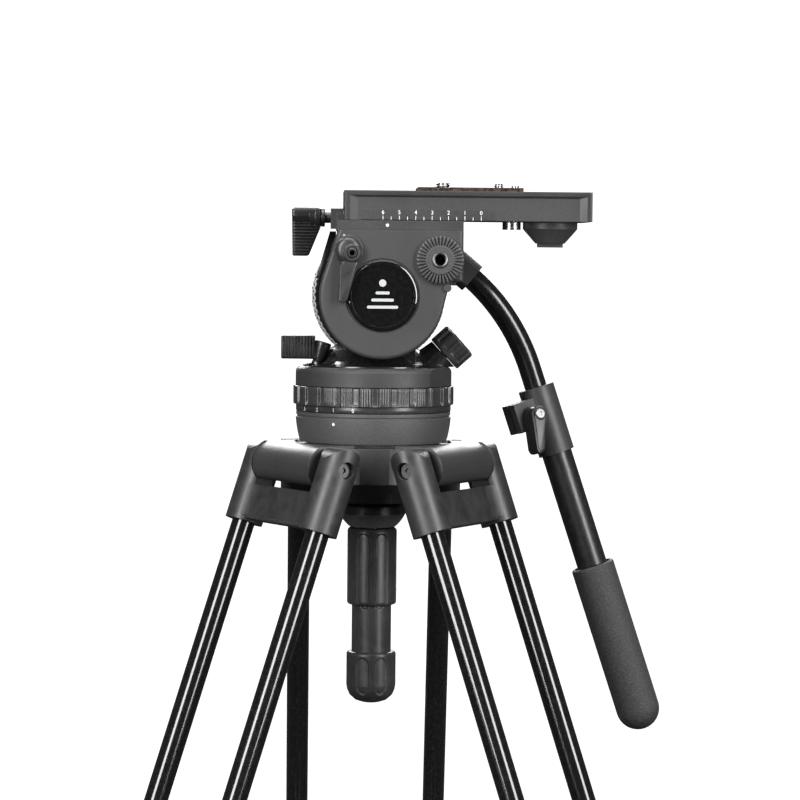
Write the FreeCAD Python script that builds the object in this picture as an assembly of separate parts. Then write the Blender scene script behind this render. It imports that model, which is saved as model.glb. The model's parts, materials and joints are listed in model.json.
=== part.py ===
import FreeCAD, Part
import math
import os

# Video tripod with a fluid head, millimetres, +Z up.
# The floor is Z = 0 and the pan axis is X = Y = 0. The pan bar hangs at +X.
V = FreeCAD.Vector
UP = V(0, 0, 1)
ALONG_X = V(1, 0, 0)
ALONG_Y = V(0, 1, 0)

# ---- driving dimensions ----
SPLAY_DEG = 19.5
HINGE_RADIUS = 52.9
LEG_AZIMUTHS = (90.0, 210.0, 330.0)
LEG_LENGTH = 1000.0
FOOT_R = 14.0
HINGE_ABOVE_DATUM = 4.7
HINGE_Z = LEG_LENGTH * math.cos(math.radians(SPLAY_DEG)) + FOOT_R
# Heights of the crown and head are counted from this datum.
DATUM = HINGE_Z - HINGE_ABOVE_DATUM

GAP = 0.3
RUN = 0.05

TUBE_R = 7.2
TUBE_WALL = 1.2
TUBE_SPACING = 45.85
TUBE_TOP = -8.0
TUBE_END = -585.0

YOKE_EAR_R = 12.5
YOKE_SOCKET_R = 11.9
YOKE_BOTTOM = -40.0
YOKE_INNER = 35.6
WEB_TOP = -16.5
WEB_BOTTOM = -37.0
WEB_IN = -2.0
WEB_FACE = 5.0
BLEND_R = 18.0
BLEND_START = 26.6
BLEND_EDGE = 9.5

BOLT_R = 3.0
BOLT_HEAD_R = 4.6
BOLT_SEAT = 50.0
BOLT_HEAD_H = 2.7

ARM_HALF = 36.2
ARM_FACE = 35.0
ARM_POCKET_R = 14.6
ARM_EDGE_R = 1.8
ARM_TOP = 18.0
ARM_BOTTOM = -6.0
ARM_REACH = 66.3
BOWL_R = 46.4
BOWL_TOP = 16.2
BOWL_WALL_BOTTOM = -6.0
BOWL_BOTTOM = -14.0
BALL_R = 37.5
BALL_CENTRE = 18.4
SKIRT_BOTTOM = -19.0
SKIRT_FLATS = 27.5
SKIRT_WALL = 3.0

CAST_TOP = -500.0
CAST_BOTTOM = -590.0
LOWER_R = 11.0
LOWER_WALL = 1.6
LOWER_TOP = -350.0
LOWER_END = -985.0
LOCK_Z = -560.0

ARM_PIVOT_Z = -520.0
ARM_PIVOT_IN = 26.0
SPREADER_RISE_DEG = 16.0
HUB_PIN_RADIUS = 34.0
SLEEVE_LENGTH = 95.0
ROD_R = 4.0
ROD_LENGTH = 93.0

STUD_R = 5.0
SPINDLE_R = 14.0
GUIDE_R = 29.7
COLLAR_LOW_R = 45.6
COLLAR_TOP_R = 48.3
PAN_RIB_R = 49.8
PAN_VALLEY_R = 48.3
PAN_RIBS = 26
HOUSING_R = 48.5
FACET_DIST = 46.9
FACET_AZIMUTH = -31.0

TILT_X = 3.5
TILT_Z = 108.5
NEAR_R = 38.0
FAR_R = 40.0
DRAG_R = 42.4
DRAG_FLUTES = 36
CORE_R = 31.0
TRUNNION_R = 12.0
BODY_LEFT = -23.3
BODY_RIGHT = 53.0
BODY_TOP = 149.0
DECK_UNDER = 141.0
NEAR_FRONT = -45.0
NEAR_BACK = -27.0
FAR_FRONT = 13.0
FAR_BACK = 29.7
FLANGE_FRONT = 44.8
FLANGE_BACK = 50.0
BADGE_R = 21.5
FRONT_EDGE_R = 2.4

ROSETTE_X = 38.7
ROSETTE_Z = 131.2
ROSETTE_R = 14.6
ROSETTE_TEETH = 40
HANDLE_HOLE_R = 3.2

PLATE_LEFT = -19.5
PLATE_RIGHT = 132.2
PLATE_HALF = 35.0
PLATE_LOW = 155.3
PLATE_TOP = 173.4
PLATE_CORNER_R = 1.2
CHANNEL_HALF = 20.5
CHANNEL_ROOF = 163.5
THREAD_START = 176.1

BAR_Y = 62.0
BAR_LEAN_DEG = 18.27
BAR_BEND_R = 133.0
BAR_BEND_END_DEG = 50.0
BAR_START_X = 102.1
BAR_START_Z = 62.0
BAR_IN_R = 7.2
BAR_OUT_R = 9.75
CLAMP_TURN_DEG = 30.0


# ---- helpers ----
def box(x0, x1, y0, y1, z0, z1):
    return Part.makeBox(x1 - x0, y1 - y0, z1 - z0, V(x0, y0, z0))


def rod(start, direction, radius, length):
    return Part.makeCylinder(radius, length, start, direction)


def taper(start, direction, r0, r1, length):
    return Part.makeCone(r0, r1, length, start, direction)


def revolve(profile):
    """Solid of revolution about the Z axis from (radius, height) points."""
    points = [V(r, 0, z) for r, z in profile]
    face = Part.Face(Part.makePolygon(points + [points[0]]))
    return face.revolve(V(0, 0, 0), UP, 360)


def prism_xz(points, y0, y1):
    """Prism along Y from (x, z) points."""
    corners = [V(x, y0, z) for x, z in points]
    face = Part.Face(Part.makePolygon(corners + [corners[0]]))
    return face.extrude(V(0, y1 - y0, 0))


def fuse(shapes):
    body = shapes[0]
    for shape in shapes[1:]:
        body = body.fuse(shape)
    return body


def carve(body, tools):
    """Cuts tools one by one, so that tools may cross each other."""
    for tool in tools:
        body = body.cut(tool)
    return body


def moved(shape, offset):
    copy = shape.copy()
    copy.translate(offset)
    return copy


def turned(shape, centre, axis, degrees):
    copy = shape.copy()
    copy.rotate(centre, axis, degrees)
    return copy


def polar_copies(shape, count, centre, axis):
    step = 360.0 / count
    return [turned(shape, centre, axis, i * step) for i in range(count)]


def raised(shape):
    """From heights above the datum to heights above the floor."""
    return moved(shape, V(0, 0, DATUM))


def on_leg(shape, azimuth):
    """From a hanging leg (hinge at the origin, outward = +Y) to its place."""
    out = turned(shape, V(0, 0, 0), ALONG_X, SPLAY_DEG)
    out.translate(V(0, HINGE_RADIUS, HINGE_Z))
    out.rotate(V(0, 0, 0), UP, azimuth - 90.0)
    return out


def save(name, shape):
    shape.exportStep("parts/" + name + ".step")


# ---- crown: bowl, three arms, hinge bolts ----
def arm_block():
    """Arm of the rear leg, in datum heights, outward along +Y."""
    edge = 14.0
    y1 = ARM_REACH
    top = ARM_TOP
    low = ARM_BOTTOM
    c = math.cos(math.radians(45))
    outline = [
        Part.LineSegment(V(0, 20, low), V(0, 20, top)),
        Part.LineSegment(V(0, 20, top), V(0, y1 - edge, top)),
        Part.Arc(V(0, y1 - edge, top), V(0, y1 - edge + edge * c, top - edge + edge * c),
                 V(0, y1, top - edge)),
        Part.LineSegment(V(0, y1, top - edge), V(0, y1, low + 8)),
        Part.Arc(V(0, y1, low + 8), V(0, y1 - 8 + 8 * c, low + 8 - 8 * c), V(0, y1 - 8, low)),
        Part.LineSegment(V(0, y1 - 8, low), V(0, 20, low)),
    ]
    wire = Part.Wire([curve.toShape() for curve in outline])
    block = Part.Face(wire).extrude(V(2 * ARM_HALF, 0, 0))
    block.translate(V(-ARM_HALF, 0, 0))
    rims = [edge for edge in block.Edges
            if all(abs(abs(v.X) - ARM_HALF) < 0.01 for v in edge.Vertexes)
            and max(v.Y for v in edge.Vertexes) > 20.1]
    block = block.makeFillet(ARM_EDGE_R, rims)
    pockets = []
    for x0 in (ARM_FACE, -ARM_FACE - 5):
        pockets.append(rod(V(x0, HINGE_RADIUS, HINGE_ABOVE_DATUM), ALONG_X, ARM_POCKET_R, 5))
        pockets.append(box(x0, x0 + 5, 0, HINGE_RADIUS, -20, 30))
    block = carve(block, pockets)
    bore = rod(V(-60, HINGE_RADIUS, HINGE_ABOVE_DATUM), ALONG_X, BOLT_R, 120)
    return block, bore


def build_spider():
    block, bore = arm_block()
    arms = [turned(block, V(0, 0, 0), UP, a - 90) for a in LEG_AZIMUTHS]
    bores = [turned(bore, V(0, 0, 0), UP, a - 90) for a in LEG_AZIMUTHS]
    bowl = rod(V(0, 0, BOWL_WALL_BOTTOM), UP, BOWL_R, BOWL_TOP - BOWL_WALL_BOTTOM)
    underside = taper(V(0, 0, BOWL_BOTTOM), UP, 28.6, 36.4, BOWL_WALL_BOTTOM - BOWL_BOTTOM + 1)
    octagon = [V(SKIRT_FLATS / math.cos(math.pi / 8) * math.cos(math.pi / 8 + i * math.pi / 4),
                 SKIRT_FLATS / math.cos(math.pi / 8) * math.sin(math.pi / 8 + i * math.pi / 4),
                 SKIRT_BOTTOM) for i in range(8)]
    skirt = Part.Face(Part.makePolygon(octagon + [octagon[0]]))
    skirt = skirt.extrude(V(0, 0, BOWL_BOTTOM - SKIRT_BOTTOM + 1))
    body = fuse([bowl, underside, skirt] + arms)
    recess = rod(V(0, 0, BOWL_TOP), UP, COLLAR_TOP_R + 0.7, 10)
    seat = Part.makeSphere(BALL_R + GAP, V(0, 0, BALL_CENTRE))
    mouth = rod(V(0, 0, SKIRT_BOTTOM - 1), UP, SKIRT_FLATS - SKIRT_WALL,
                BOWL_BOTTOM - SKIRT_BOTTOM + 1)
    throat = rod(V(0, 0, SKIRT_BOTTOM - 1), UP, 21.0, 12)
    return raised(carve(body, [recess, seat, mouth, throat] + bores))


def build_hinge_bolts():
    shank = rod(V(-BOLT_SEAT - GAP, 0, 0), ALONG_X, BOLT_R, 2 * (BOLT_SEAT + GAP))
    heads = []
    for side in (-1, 1):
        start = V(side * (BOLT_SEAT + GAP), 0, 0)
        head = rod(start, V(side, 0, 0), BOLT_HEAD_R, BOLT_HEAD_H)
        socket = rod(start + V(side * 1.2, 0, 0), V(side, 0, 0), 1.7, BOLT_HEAD_H)
        heads.append(head.cut(socket))
    bolt = fuse([shank] + heads)
    return Part.makeCompound([on_leg(bolt, a) for a in LEG_AZIMUTHS])


# ---- one leg, hanging from its hinge at the origin ----
def web_blend(side):
    """Hollow curve that carries the web's face out to a tube socket."""
    ends = sorted((side * BLEND_START, side * TUBE_SPACING))
    block = box(ends[0], ends[1], WEB_FACE - 1, BLEND_EDGE, WEB_BOTTOM, WEB_TOP)
    hollow = rod(V(side * BLEND_START, WEB_FACE + BLEND_R - 0.15, WEB_BOTTOM - 1), UP, BLEND_R,
                 WEB_TOP - WEB_BOTTOM + 2)
    return block.cut(hollow)


def yoke():
    ears = []
    for side in (-1, 1):
        column = rod(V(side * TUBE_SPACING, 0, YOKE_BOTTOM), UP, YOKE_SOCKET_R, 60)
        crown = rod(V(-70, 0, 0), ALONG_X, YOKE_EAR_R, 140)
        lower = box(-70, 70, -20, 20, YOKE_BOTTOM, 0)
        ear = column.common(crown.fuse(lower))
        keep_x = (YOKE_INNER, 70) if side > 0 else (-70, -YOKE_INNER)
        clearance_side = box(keep_x[0], keep_x[1], -20, 20, YOKE_BOTTOM, 20)
        foot_side = box(-70, 70, -20, 20, YOKE_BOTTOM, WEB_TOP)
        ears.append(ear.common(clearance_side.fuse(foot_side)))
    web = box(-TUBE_SPACING, TUBE_SPACING, WEB_IN, WEB_FACE, WEB_BOTTOM, WEB_TOP)
    lip = box(-TUBE_SPACING, TUBE_SPACING, WEB_IN, WEB_FACE + 1.2, WEB_BOTTOM - 1.6, WEB_BOTTOM)
    blends = [web_blend(side) for side in (-1, 1)]
    body = fuse(ears + [web, lip] + blends)
    cuts = [rod(V(-70, 0, 0), ALONG_X, BOLT_R + RUN, 140)]
    for side in (-1, 1):
        cuts.append(rod(V(side * BOLT_SEAT, 0, 0), V(side, 0, 0), BOLT_HEAD_R + 0.6, 12))
        cuts.append(rod(V(side * TUBE_SPACING, 0, YOKE_BOTTOM - 1), UP, TUBE_R,
                        TUBE_TOP - YOKE_BOTTOM + 1))
    return carve(body, cuts)


def upper_tubes():
    tubes = []
    for side in (-1, 1):
        start = V(side * TUBE_SPACING, 0, TUBE_END)
        outer = rod(start, UP, TUBE_R, TUBE_TOP - TUBE_END)
        bore = rod(start, UP, TUBE_R - TUBE_WALL, TUBE_TOP - TUBE_END)
        tubes.append(outer.cut(bore))
    return Part.makeCompound(tubes)


def casting():
    height = CAST_TOP - CAST_BOTTOM
    parts = [rod(V(0, 0, CAST_BOTTOM), UP, LOWER_R + 5, height)]
    for side in (-1, 1):
        parts.append(rod(V(side * TUBE_SPACING, 0, CAST_BOTTOM), UP, TUBE_R + 3.6, height))
    parts.append(box(-TUBE_SPACING, TUBE_SPACING, -4.5, 4.5, CAST_BOTTOM + 3, CAST_TOP - 3))
    parts.append(rod(V(0, 10, LOCK_Z), ALONG_Y, 8.0, 9.0))
    for side in (-1, 1):
        x0 = 7.5 if side > 0 else -11.5
        lug = box(x0, x0 + 4, -ARM_PIVOT_IN, -8, ARM_PIVOT_Z - 6, ARM_PIVOT_Z + 6)
        nose = rod(V(x0, -ARM_PIVOT_IN, ARM_PIVOT_Z), ALONG_X, 6, 4)
        parts += [lug, nose]
    body = fuse(parts)
    cuts = [rod(V(0, 0, CAST_BOTTOM - 1), UP, LOWER_R + RUN, height + 2)]
    for side in (-1, 1):
        cuts.append(rod(V(side * TUBE_SPACING, 0, TUBE_END), UP, TUBE_R, 100))
    cuts.append(rod(V(0, 12, LOCK_Z), ALONG_Y, 3.0 + RUN, 20))
    pin = rod(V(-11.5, -ARM_PIVOT_IN, ARM_PIVOT_Z), ALONG_X, 2.5, 23)
    return fuse([carve(body, cuts), pin])


def leg_lock():
    """Clamp lever on the outer side of the casting; its blade points down."""
    hub = rod(V(0, 19.0 + GAP, LOCK_Z), ALONG_Y, 8.5, 9)
    stem = rod(V(0, 13.5, LOCK_Z), ALONG_Y, 3.0, 8)
    blade = prism_xz([(-5.5, LOCK_Z), (5.5, LOCK_Z), (4.0, LOCK_Z - 36), (-4.0, LOCK_Z - 36)],
                     21.0, 28.0)
    tip = rod(V(0, 21, LOCK_Z - 36), ALONG_Y, 4.0, 7)
    return fuse([hub, stem, blade, tip])


def lower_tube():
    height = LOWER_TOP - LOWER_END
    outer = rod(V(0, 0, LOWER_END), UP, LOWER_R, height)
    bore = rod(V(0, 0, LOWER_END), UP, LOWER_R - LOWER_WALL, height)
    return outer.cut(bore)


def foot():
    ball = Part.makeSphere(FOOT_R, V(0, 0, -LEG_LENGTH))
    boot = rod(V(0, 0, -LEG_LENGTH), UP, FOOT_R, 45)
    rim = rod(V(0, 0, -LEG_LENGTH + 38), UP, FOOT_R + 2.0, 8)
    body = fuse([ball, boot, rim])
    return body.cut(rod(V(0, 0, LOWER_END), UP, LOWER_R, 60))


# ---- spreader, drawn level in the hanging frame of the leg ----
def spreader_geometry():
    splay = math.radians(SPLAY_DEG)
    rise = math.radians(SPREADER_RISE_DEG)
    pivot_r = HINGE_RADIUS - ARM_PIVOT_Z * math.sin(splay) - ARM_PIVOT_IN * math.cos(splay)
    pivot_z = HINGE_Z + ARM_PIVOT_Z * math.cos(splay) - ARM_PIVOT_IN * math.sin(splay)
    length = (pivot_r - HUB_PIN_RADIUS) / math.cos(rise)
    return pivot_r, pivot_z, length, pivot_z + length * math.sin(rise)


def on_spreader(shape, azimuth):
    """From an arm along +X with its leg pivot at the origin to its place."""
    pivot_r, pivot_z, length, hub_z = spreader_geometry()
    out = turned(shape, V(0, 0, 0), ALONG_Y, -SPREADER_RISE_DEG)
    out.translate(V(-pivot_r, 0, pivot_z))
    out.rotate(V(0, 0, 0), UP, azimuth - 180.0)
    return out


def sleeve():
    eye = rod(V(0, -7, 0), ALONG_Y, 5.5, 14)
    shank = box(0, 14, -5, 5, -5.5, 5.5)
    barrel = box(12, SLEEVE_LENGTH, -6.5, 6.5, -6.5, 6.5)
    body = fuse([eye, shank, barrel])
    bore = rod(V(8, 0, 0), ALONG_X, ROD_R + RUN, SLEEVE_LENGTH)
    return body.cut(bore).cut(rod(V(0, -8, 0), ALONG_Y, 2.5 + RUN, 16))


def spreader_rod():
    length = spreader_geometry()[2]
    eye = rod(V(length, -ROD_R, 0), ALONG_Y, 5.6, 2 * ROD_R)
    shaft = rod(V(length - ROD_LENGTH, 0, 0), ALONG_X, ROD_R, ROD_LENGTH)
    body = fuse([eye, shaft])
    return body.cut(rod(V(length, -6, 0), ALONG_Y, 3.7, 12))


def hub():
    z = spreader_geometry()[3]
    body = rod(V(0, 0, z - 5), UP, 25.0, 10)
    body = body.fuse(rod(V(0, 0, z + 5), UP, 11.0, 6))
    extras = []
    for azimuth in LEG_AZIMUTHS:
        for side in (-1, 1):
            y0 = 5.6 if side > 0 else -8.6
            lug = box(20, HUB_PIN_RADIUS, y0, y0 + 3, z - 3.5, z + 3.5)
            nose = rod(V(HUB_PIN_RADIUS, y0, z), ALONG_Y, 3.5, 3)
            extras += [turned(lug, V(0, 0, 0), UP, azimuth),
                       turned(nose, V(0, 0, 0), UP, azimuth)]
    body = fuse([body] + extras)
    slots = [turned(box(21, 45, -5.6, 5.6, z - 12, z + 12), V(0, 0, 0), UP, a)
             for a in LEG_AZIMUTHS]
    body = carve(body, slots)
    pins = [turned(rod(V(HUB_PIN_RADIUS, -8.6, z), ALONG_Y, 1.5, 17.2), V(0, 0, 0), UP, a)
            for a in LEG_AZIMUTHS]
    return fuse([body] + pins)


# ---- bowl clamp and base ----
def build_half_ball():
    ball = Part.makeSphere(BALL_R, V(0, 0, BALL_CENTRE))
    zone = ball.common(box(-50, 50, -50, 50, -9, BALL_CENTRE))
    return raised(zone.cut(rod(V(0, 0, -10), UP, STUD_R, 22)))


def build_bowl_stud():
    return raised(rod(V(0, 0, -104), UP, STUD_R, 116))


def build_clamp_ring():
    ring = revolve([(STUD_R, -15.5), (17.8, -15.5), (17.8, -19.5), (20.2, -26.8),
                    (STUD_R, -26.8)])
    return raised(ring)


def build_clamp_dish():
    centre = V(0, 0, -17.5)
    ball = Part.makeSphere(22.6, centre)
    zone = ball.common(box(-30, 30, -30, 30, -35.0, -26.8))
    return raised(zone.cut(rod(V(0, 0, -40), UP, STUD_R, 20)))


def build_clamp_knob():
    body = revolve([(STUD_R + RUN, -35.6), (14.0, -35.6), (15.4, -37.0), (15.4, -83.6),
                    (14.6, -84.6), (12.3, -85.2), (12.3, -113.0), (STUD_R + RUN, -113.0)])
    return raised(body)


def build_clamp_cap():
    body = revolve([(0, -113.0), (14.4, -113.0), (15.4, -114.5), (15.4, -134.0), (13.6, -140.5),
                    (9.0, -144.4), (0, -145.4)])
    pocket = rod(V(0, 0, -114), UP, STUD_R + 1, 2)
    return raised(body.cut(pocket))


def build_base_collar():
    wall = Part.Arc(V(COLLAR_LOW_R, 0, BALL_CENTRE), V(47.5, 0, 26.5), V(COLLAR_TOP_R, 0, 33.6))
    points = [V(COLLAR_TOP_R, 0, 33.6), V(47.3, 0, 34.0), V(47.3, 0, 34.6), V(48.0, 0, 35.0),
              V(48.0, 0, 37.1), V(GUIDE_R, 0, 37.1), V(GUIDE_R, 0, 53.0), V(SPINDLE_R, 0, 53.0),
              V(SPINDLE_R, 0, 61.0), V(0, 0, 61.0), V(0, 0, BALL_CENTRE),
              V(COLLAR_LOW_R, 0, BALL_CENTRE)]
    wire = Part.Wire([wall.toShape()] + Part.makePolygon(points).Edges)
    return raised(Part.Face(wire).revolve(V(0, 0, 0), UP, 360))


def build_pan_drag_ring():
    inner = GUIDE_R + GAP
    ring = revolve([(inner, 37.4), (48.0, 37.4), (48.2, 37.8), (48.2, 41.2), (PAN_RIB_R, 41.8),
                    (PAN_RIB_R, 52.4), (49.2, 53.0), (inner, 53.0)])
    groove = rod(V(PAN_RIB_R + 0.6, 0, 41.5), UP, 2.6, 20)
    cutters = polar_copies(groove, PAN_RIBS, V(0, 0, 0), UP)
    return raised(carve(ring, cutters))


# ---- pan housing and cradle ----
KNOB_START = V(43.7, 0, 72.6)
KNOB_AXIS = V(0.743, 0, 0.669)
SHAFT_DEPTH = 7.2
PAN_LOCK_BASE = V(-36.4, -12, 62.6)
PAN_LOCK_AXIS = V(0.28, 0, 0.96)


def build_pan_housing():
    body = revolve([(SPINDLE_R + RUN, 53.3), (HOUSING_R, 53.3), (HOUSING_R, 62.0),
                    (47.9, 63.6), (46.6, 64.7), (45.0, 65.0), (0, 65.0), (0, 61.4),
                    (SPINDLE_R + RUN, 61.4)])
    facet = box(FACET_DIST, 60, -40, 40, 50, 70)
    body = body.cut(turned(facet, V(0, 0, 0), UP, FACET_AZIMUTH))
    stud_hole = rod(PAN_LOCK_BASE, PAN_LOCK_AXIS, 2.6 + RUN, 10)
    return raised(body.cut(stud_hole))


def build_pan_cradle():
    dish = revolve([(0, 65.0), (44.0, 65.0), (44.0, 65.8), (38.0, 66.8), (35.0, 68.5),
                    (28.0, 75.6), (22.0, 79.0), (0, 79.0)])
    neck = box(-18, 25, NEAR_BACK + GAP, FAR_FRONT - GAP, 66, 95)
    boss_start = KNOB_START - KNOB_AXIS * 24.0
    boss = taper(boss_start, KNOB_AXIS, 14.0, 11.0, 23.6)
    boss = boss.common(box(-60, 60, -30, 30, 65.0, 120))
    core_start = V(TILT_X, NEAR_BACK + GAP, TILT_Z)
    core = rod(core_start, ALONG_Y, CORE_R, FAR_FRONT - NEAR_BACK - 2 * GAP)
    trunnions = rod(V(TILT_X, -35 + GAP, TILT_Z), ALONG_Y, TRUNNION_R, 60 - 2 * GAP)
    near_sweep = rod(V(TILT_X, -60, TILT_Z), ALONG_Y, NEAR_R + GAP, 60 + NEAR_BACK + GAP)
    far_sweep = rod(V(TILT_X, FAR_FRONT - GAP, TILT_Z), ALONG_Y, FAR_R + GAP, 17.2)
    drag_sweep = rod(V(TILT_X, FAR_BACK, TILT_Z), ALONG_Y, DRAG_R + GAP, 40)
    lock_relief = rod(PAN_LOCK_BASE + PAN_LOCK_AXIS * 0.1, PAN_LOCK_AXIS, 7.2, 32)
    cuts = [near_sweep, far_sweep, drag_sweep, lock_relief]
    body = carve(fuse([dish, neck, boss]), cuts)
    body = fuse([body, core, trunnions])
    shaft_hole = rod(KNOB_START - KNOB_AXIS * (SHAFT_DEPTH + 0.4), KNOB_AXIS, 3.0 + RUN, 20)
    return raised(body.cut(shaft_hole))


def build_counterbalance_knob():
    grip = rod(KNOB_START, KNOB_AXIS, 12.25, 13.5)
    shaft = rod(KNOB_START - KNOB_AXIS * SHAFT_DEPTH, KNOB_AXIS, 3.0, SHAFT_DEPTH + 0.6)
    side = KNOB_AXIS.cross(ALONG_Y)
    groove = rod(KNOB_START + KNOB_AXIS * 3.5 + side * 13.4, KNOB_AXIS, 2.0, 20)
    cutters = polar_copies(groove, 14, KNOB_START, KNOB_AXIS)
    return raised(carve(fuse([grip, shaft]), cutters))


def build_pan_lock_lever():
    base = PAN_LOCK_BASE
    stud = rod(base + PAN_LOCK_AXIS * 0.4, PAN_LOCK_AXIS, 2.6, 12)
    bell = taper(base + PAN_LOCK_AXIS * 5.2, PAN_LOCK_AXIS, 4.2, 6.4, 12)
    cap = rod(base + PAN_LOCK_AXIS * 17.2, PAN_LOCK_AXIS, 6.4, 3.4)
    paddle = box(-57.6, -36.5, -16.0, -8.0, 69.6, 84.0)
    return raised(fuse([stud, bell, cap, paddle]))


# ---- tilt body ----
def keyhole(radius, y0, y1, left, right, top):
    """Side plate outline: a circle joined by tangents to its top corners."""
    plate = rod(V(TILT_X, y0, TILT_Z), ALONG_Y, radius, y1 - y0)
    sides = []
    for corner_x, sign in ((left, -1), (right, 1)):
        dx = corner_x - TILT_X
        dz = top - TILT_Z
        distance = math.hypot(dx, dz)
        bearing = math.atan2(dz, dx)
        spread = math.acos(radius / distance)
        angle = bearing - sign * spread
        sides.append((corner_x, TILT_X + radius * math.cos(angle),
                      TILT_Z + radius * math.sin(angle)))
    (lx, ltx, ltz), (rx, rtx, rtz) = sides
    wedge = prism_xz([(lx, top), (ltx, ltz), (TILT_X, TILT_Z), (rtx, rtz), (rx, top)], y0, y1)
    return fuse([plate, wedge])


def front_rounded(plate):
    """Rounds the front outline of the near side plate, except along its top."""
    plate = plate.removeSplitter()
    rims = []
    for edge in plate.Edges:
        on_front = all(abs(v.Y - NEAR_FRONT) < 0.01 for v in edge.Vertexes)
        on_top = all(abs(v.Z - BODY_TOP) < 0.01 for v in edge.Vertexes)
        if on_front and not on_top:
            rims.append(edge)
    return plate.makeFillet(FRONT_EDGE_R, rims)


def drag_ring_clearance():
    """Room round the tilt drag ring, between the side plate and the rear flange."""
    return rod(V(TILT_X, FAR_BACK, TILT_Z), ALONG_Y, DRAG_R + GAP, FLANGE_FRONT - FAR_BACK)


def build_tilt_body():
    near = keyhole(NEAR_R, NEAR_FRONT, NEAR_BACK, BODY_LEFT, BODY_RIGHT, BODY_TOP)
    deck = box(BODY_LEFT, BODY_RIGHT, NEAR_BACK - 1, FAR_BACK, DECK_UNDER, BODY_TOP)
    bridge = box(22.0, BODY_RIGHT, FAR_BACK - 1, FLANGE_BACK, DECK_UNDER, BODY_TOP)
    flange = box(22.0, BODY_RIGHT, FLANGE_FRONT, FLANGE_BACK, 115.0, BODY_TOP)
    corner = box(BODY_RIGHT - 15, BODY_RIGHT, NEAR_FRONT, NEAR_BACK, 118.0, BODY_TOP)
    stop_pin = rod(V(43.4, NEAR_FRONT - 1.5, 114.3), ALONG_Y, 2.4, 9)
    body = fuse([front_rounded(fuse([near, corner])), deck, bridge, flange, stop_pin])
    cuts = [
        drag_ring_clearance(),
        rod(V(TILT_X, -35, TILT_Z), ALONG_Y, TRUNNION_R + RUN, 20),
        rod(V(4.0, NEAR_FRONT - 1, 109.0), ALONG_Y, BADGE_R + 1.4, 2.0),
        rod(V(ROSETTE_X, NEAR_FRONT - 1, ROSETTE_Z), ALONG_Y, HANDLE_HOLE_R, 12),
        rod(V(ROSETTE_X, FLANGE_FRONT - 1, ROSETTE_Z), ALONG_Y, 3.3, 8),
        rod(V(-14.8, NEAR_FRONT - 1, 135.1), ALONG_Y, 3.0 + RUN, 13),
    ]
    return raised(carve(body, cuts))


def build_side_plate():
    plate = keyhole(FAR_R, FAR_FRONT, FAR_BACK, BODY_LEFT, 40.0, DECK_UNDER)
    boss = rod(V(TILT_X, FAR_BACK, TILT_Z), ALONG_Y, 20.0, 6.3)
    bore = rod(V(TILT_X, FAR_FRONT - 1, TILT_Z), ALONG_Y, TRUNNION_R + RUN, 13)
    under_deck = box(-60, 60, FAR_FRONT - 1, FAR_BACK + 7, DECK_UNDER, BODY_TOP + 5)
    return raised(carve(fuse([plate, boss]), [bore, under_deck]))


def build_tilt_drag_ring():
    y0 = FAR_BACK + GAP
    ring = rod(V(TILT_X, y0, TILT_Z), ALONG_Y, DRAG_R, 14.2)
    bore = rod(V(TILT_X, y0 - 1, TILT_Z), ALONG_Y, 20.0 + RUN, 7.4)
    flute = rod(V(TILT_X + DRAG_R + 0.9, y0 - 1, TILT_Z), ALONG_Y, 2.0, 20)
    cutters = polar_copies(flute, DRAG_FLUTES, V(TILT_X, 0, TILT_Z), ALONG_Y)
    return raised(carve(ring, [bore] + cutters))


def build_badge():
    return raised(rod(V(4.0, NEAR_FRONT - 0.2, 109.0), ALONG_Y, BADGE_R, 1.2))


def rosette(y_face, direction):
    """Toothed disc whose back lies at y_face and whose teeth face direction."""
    centre = V(ROSETTE_X, y_face, ROSETTE_Z)
    disc = rod(centre, V(0, direction, 0), ROSETTE_R, 3.6)
    step = 360.0 / ROSETTE_TEETH
    width = math.pi * ROSETTE_R / ROSETTE_TEETH * 0.9
    front = y_face + direction * 3.6
    y0 = min(front - direction * 1.0, front + direction)
    tooth_gap = box(ROSETTE_X + 9.0, ROSETTE_X + 16, y0, y0 + 2,
                    ROSETTE_Z - width / 2, ROSETTE_Z + width / 2)
    cutters = [turned(tooth_gap, centre, ALONG_Y, i * step) for i in range(ROSETTE_TEETH)]
    hole = rod(centre - V(0, direction, 0), V(0, direction, 0), HANDLE_HOLE_R, 10)
    return carve(disc, cutters + [hole])


def build_rosettes():
    pair = [rosette(NEAR_FRONT, -1), rosette(FLANGE_BACK, 1)]
    return raised(Part.makeCompound(pair))


def build_plate_clamp():
    block = box(-23.8, 53.3, -37.0, 37.0, BODY_TOP, 155.0)
    ridge = box(-23.8, 45.0, -15.0, 15.0, 154.0, 159.5)
    lug = box(-27.5, -20.0, -9.0, 9.0, 150.0, 162.5)
    shaft_hole = rod(V(-28, 0, 157.0), ALONG_X, 3.5 + RUN, 20)
    return raised(carve(fuse([block, ridge, lug]), [shaft_hole, drag_ring_clearance()]))


def build_plate_lock_lever():
    shaft = rod(V(-35.5, 0, 157.0), ALONG_X, 3.5, 24)
    collar = rod(V(-33.8, 0, 157.0), ALONG_X, 5.6, 4.6)
    hub_part = rod(V(-40.5, 0, 157.0), ALONG_X, 7.2, 6.5)
    paddle = prism_xz([(-51.6, 163.2), (-36.0, 164.0), (-36.0, 154.0), (-43.0, 133.0),
                       (-51.2, 133.0)], -4.2, 4.2)
    return raised(fuse([shaft, collar, hub_part, paddle]))


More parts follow.
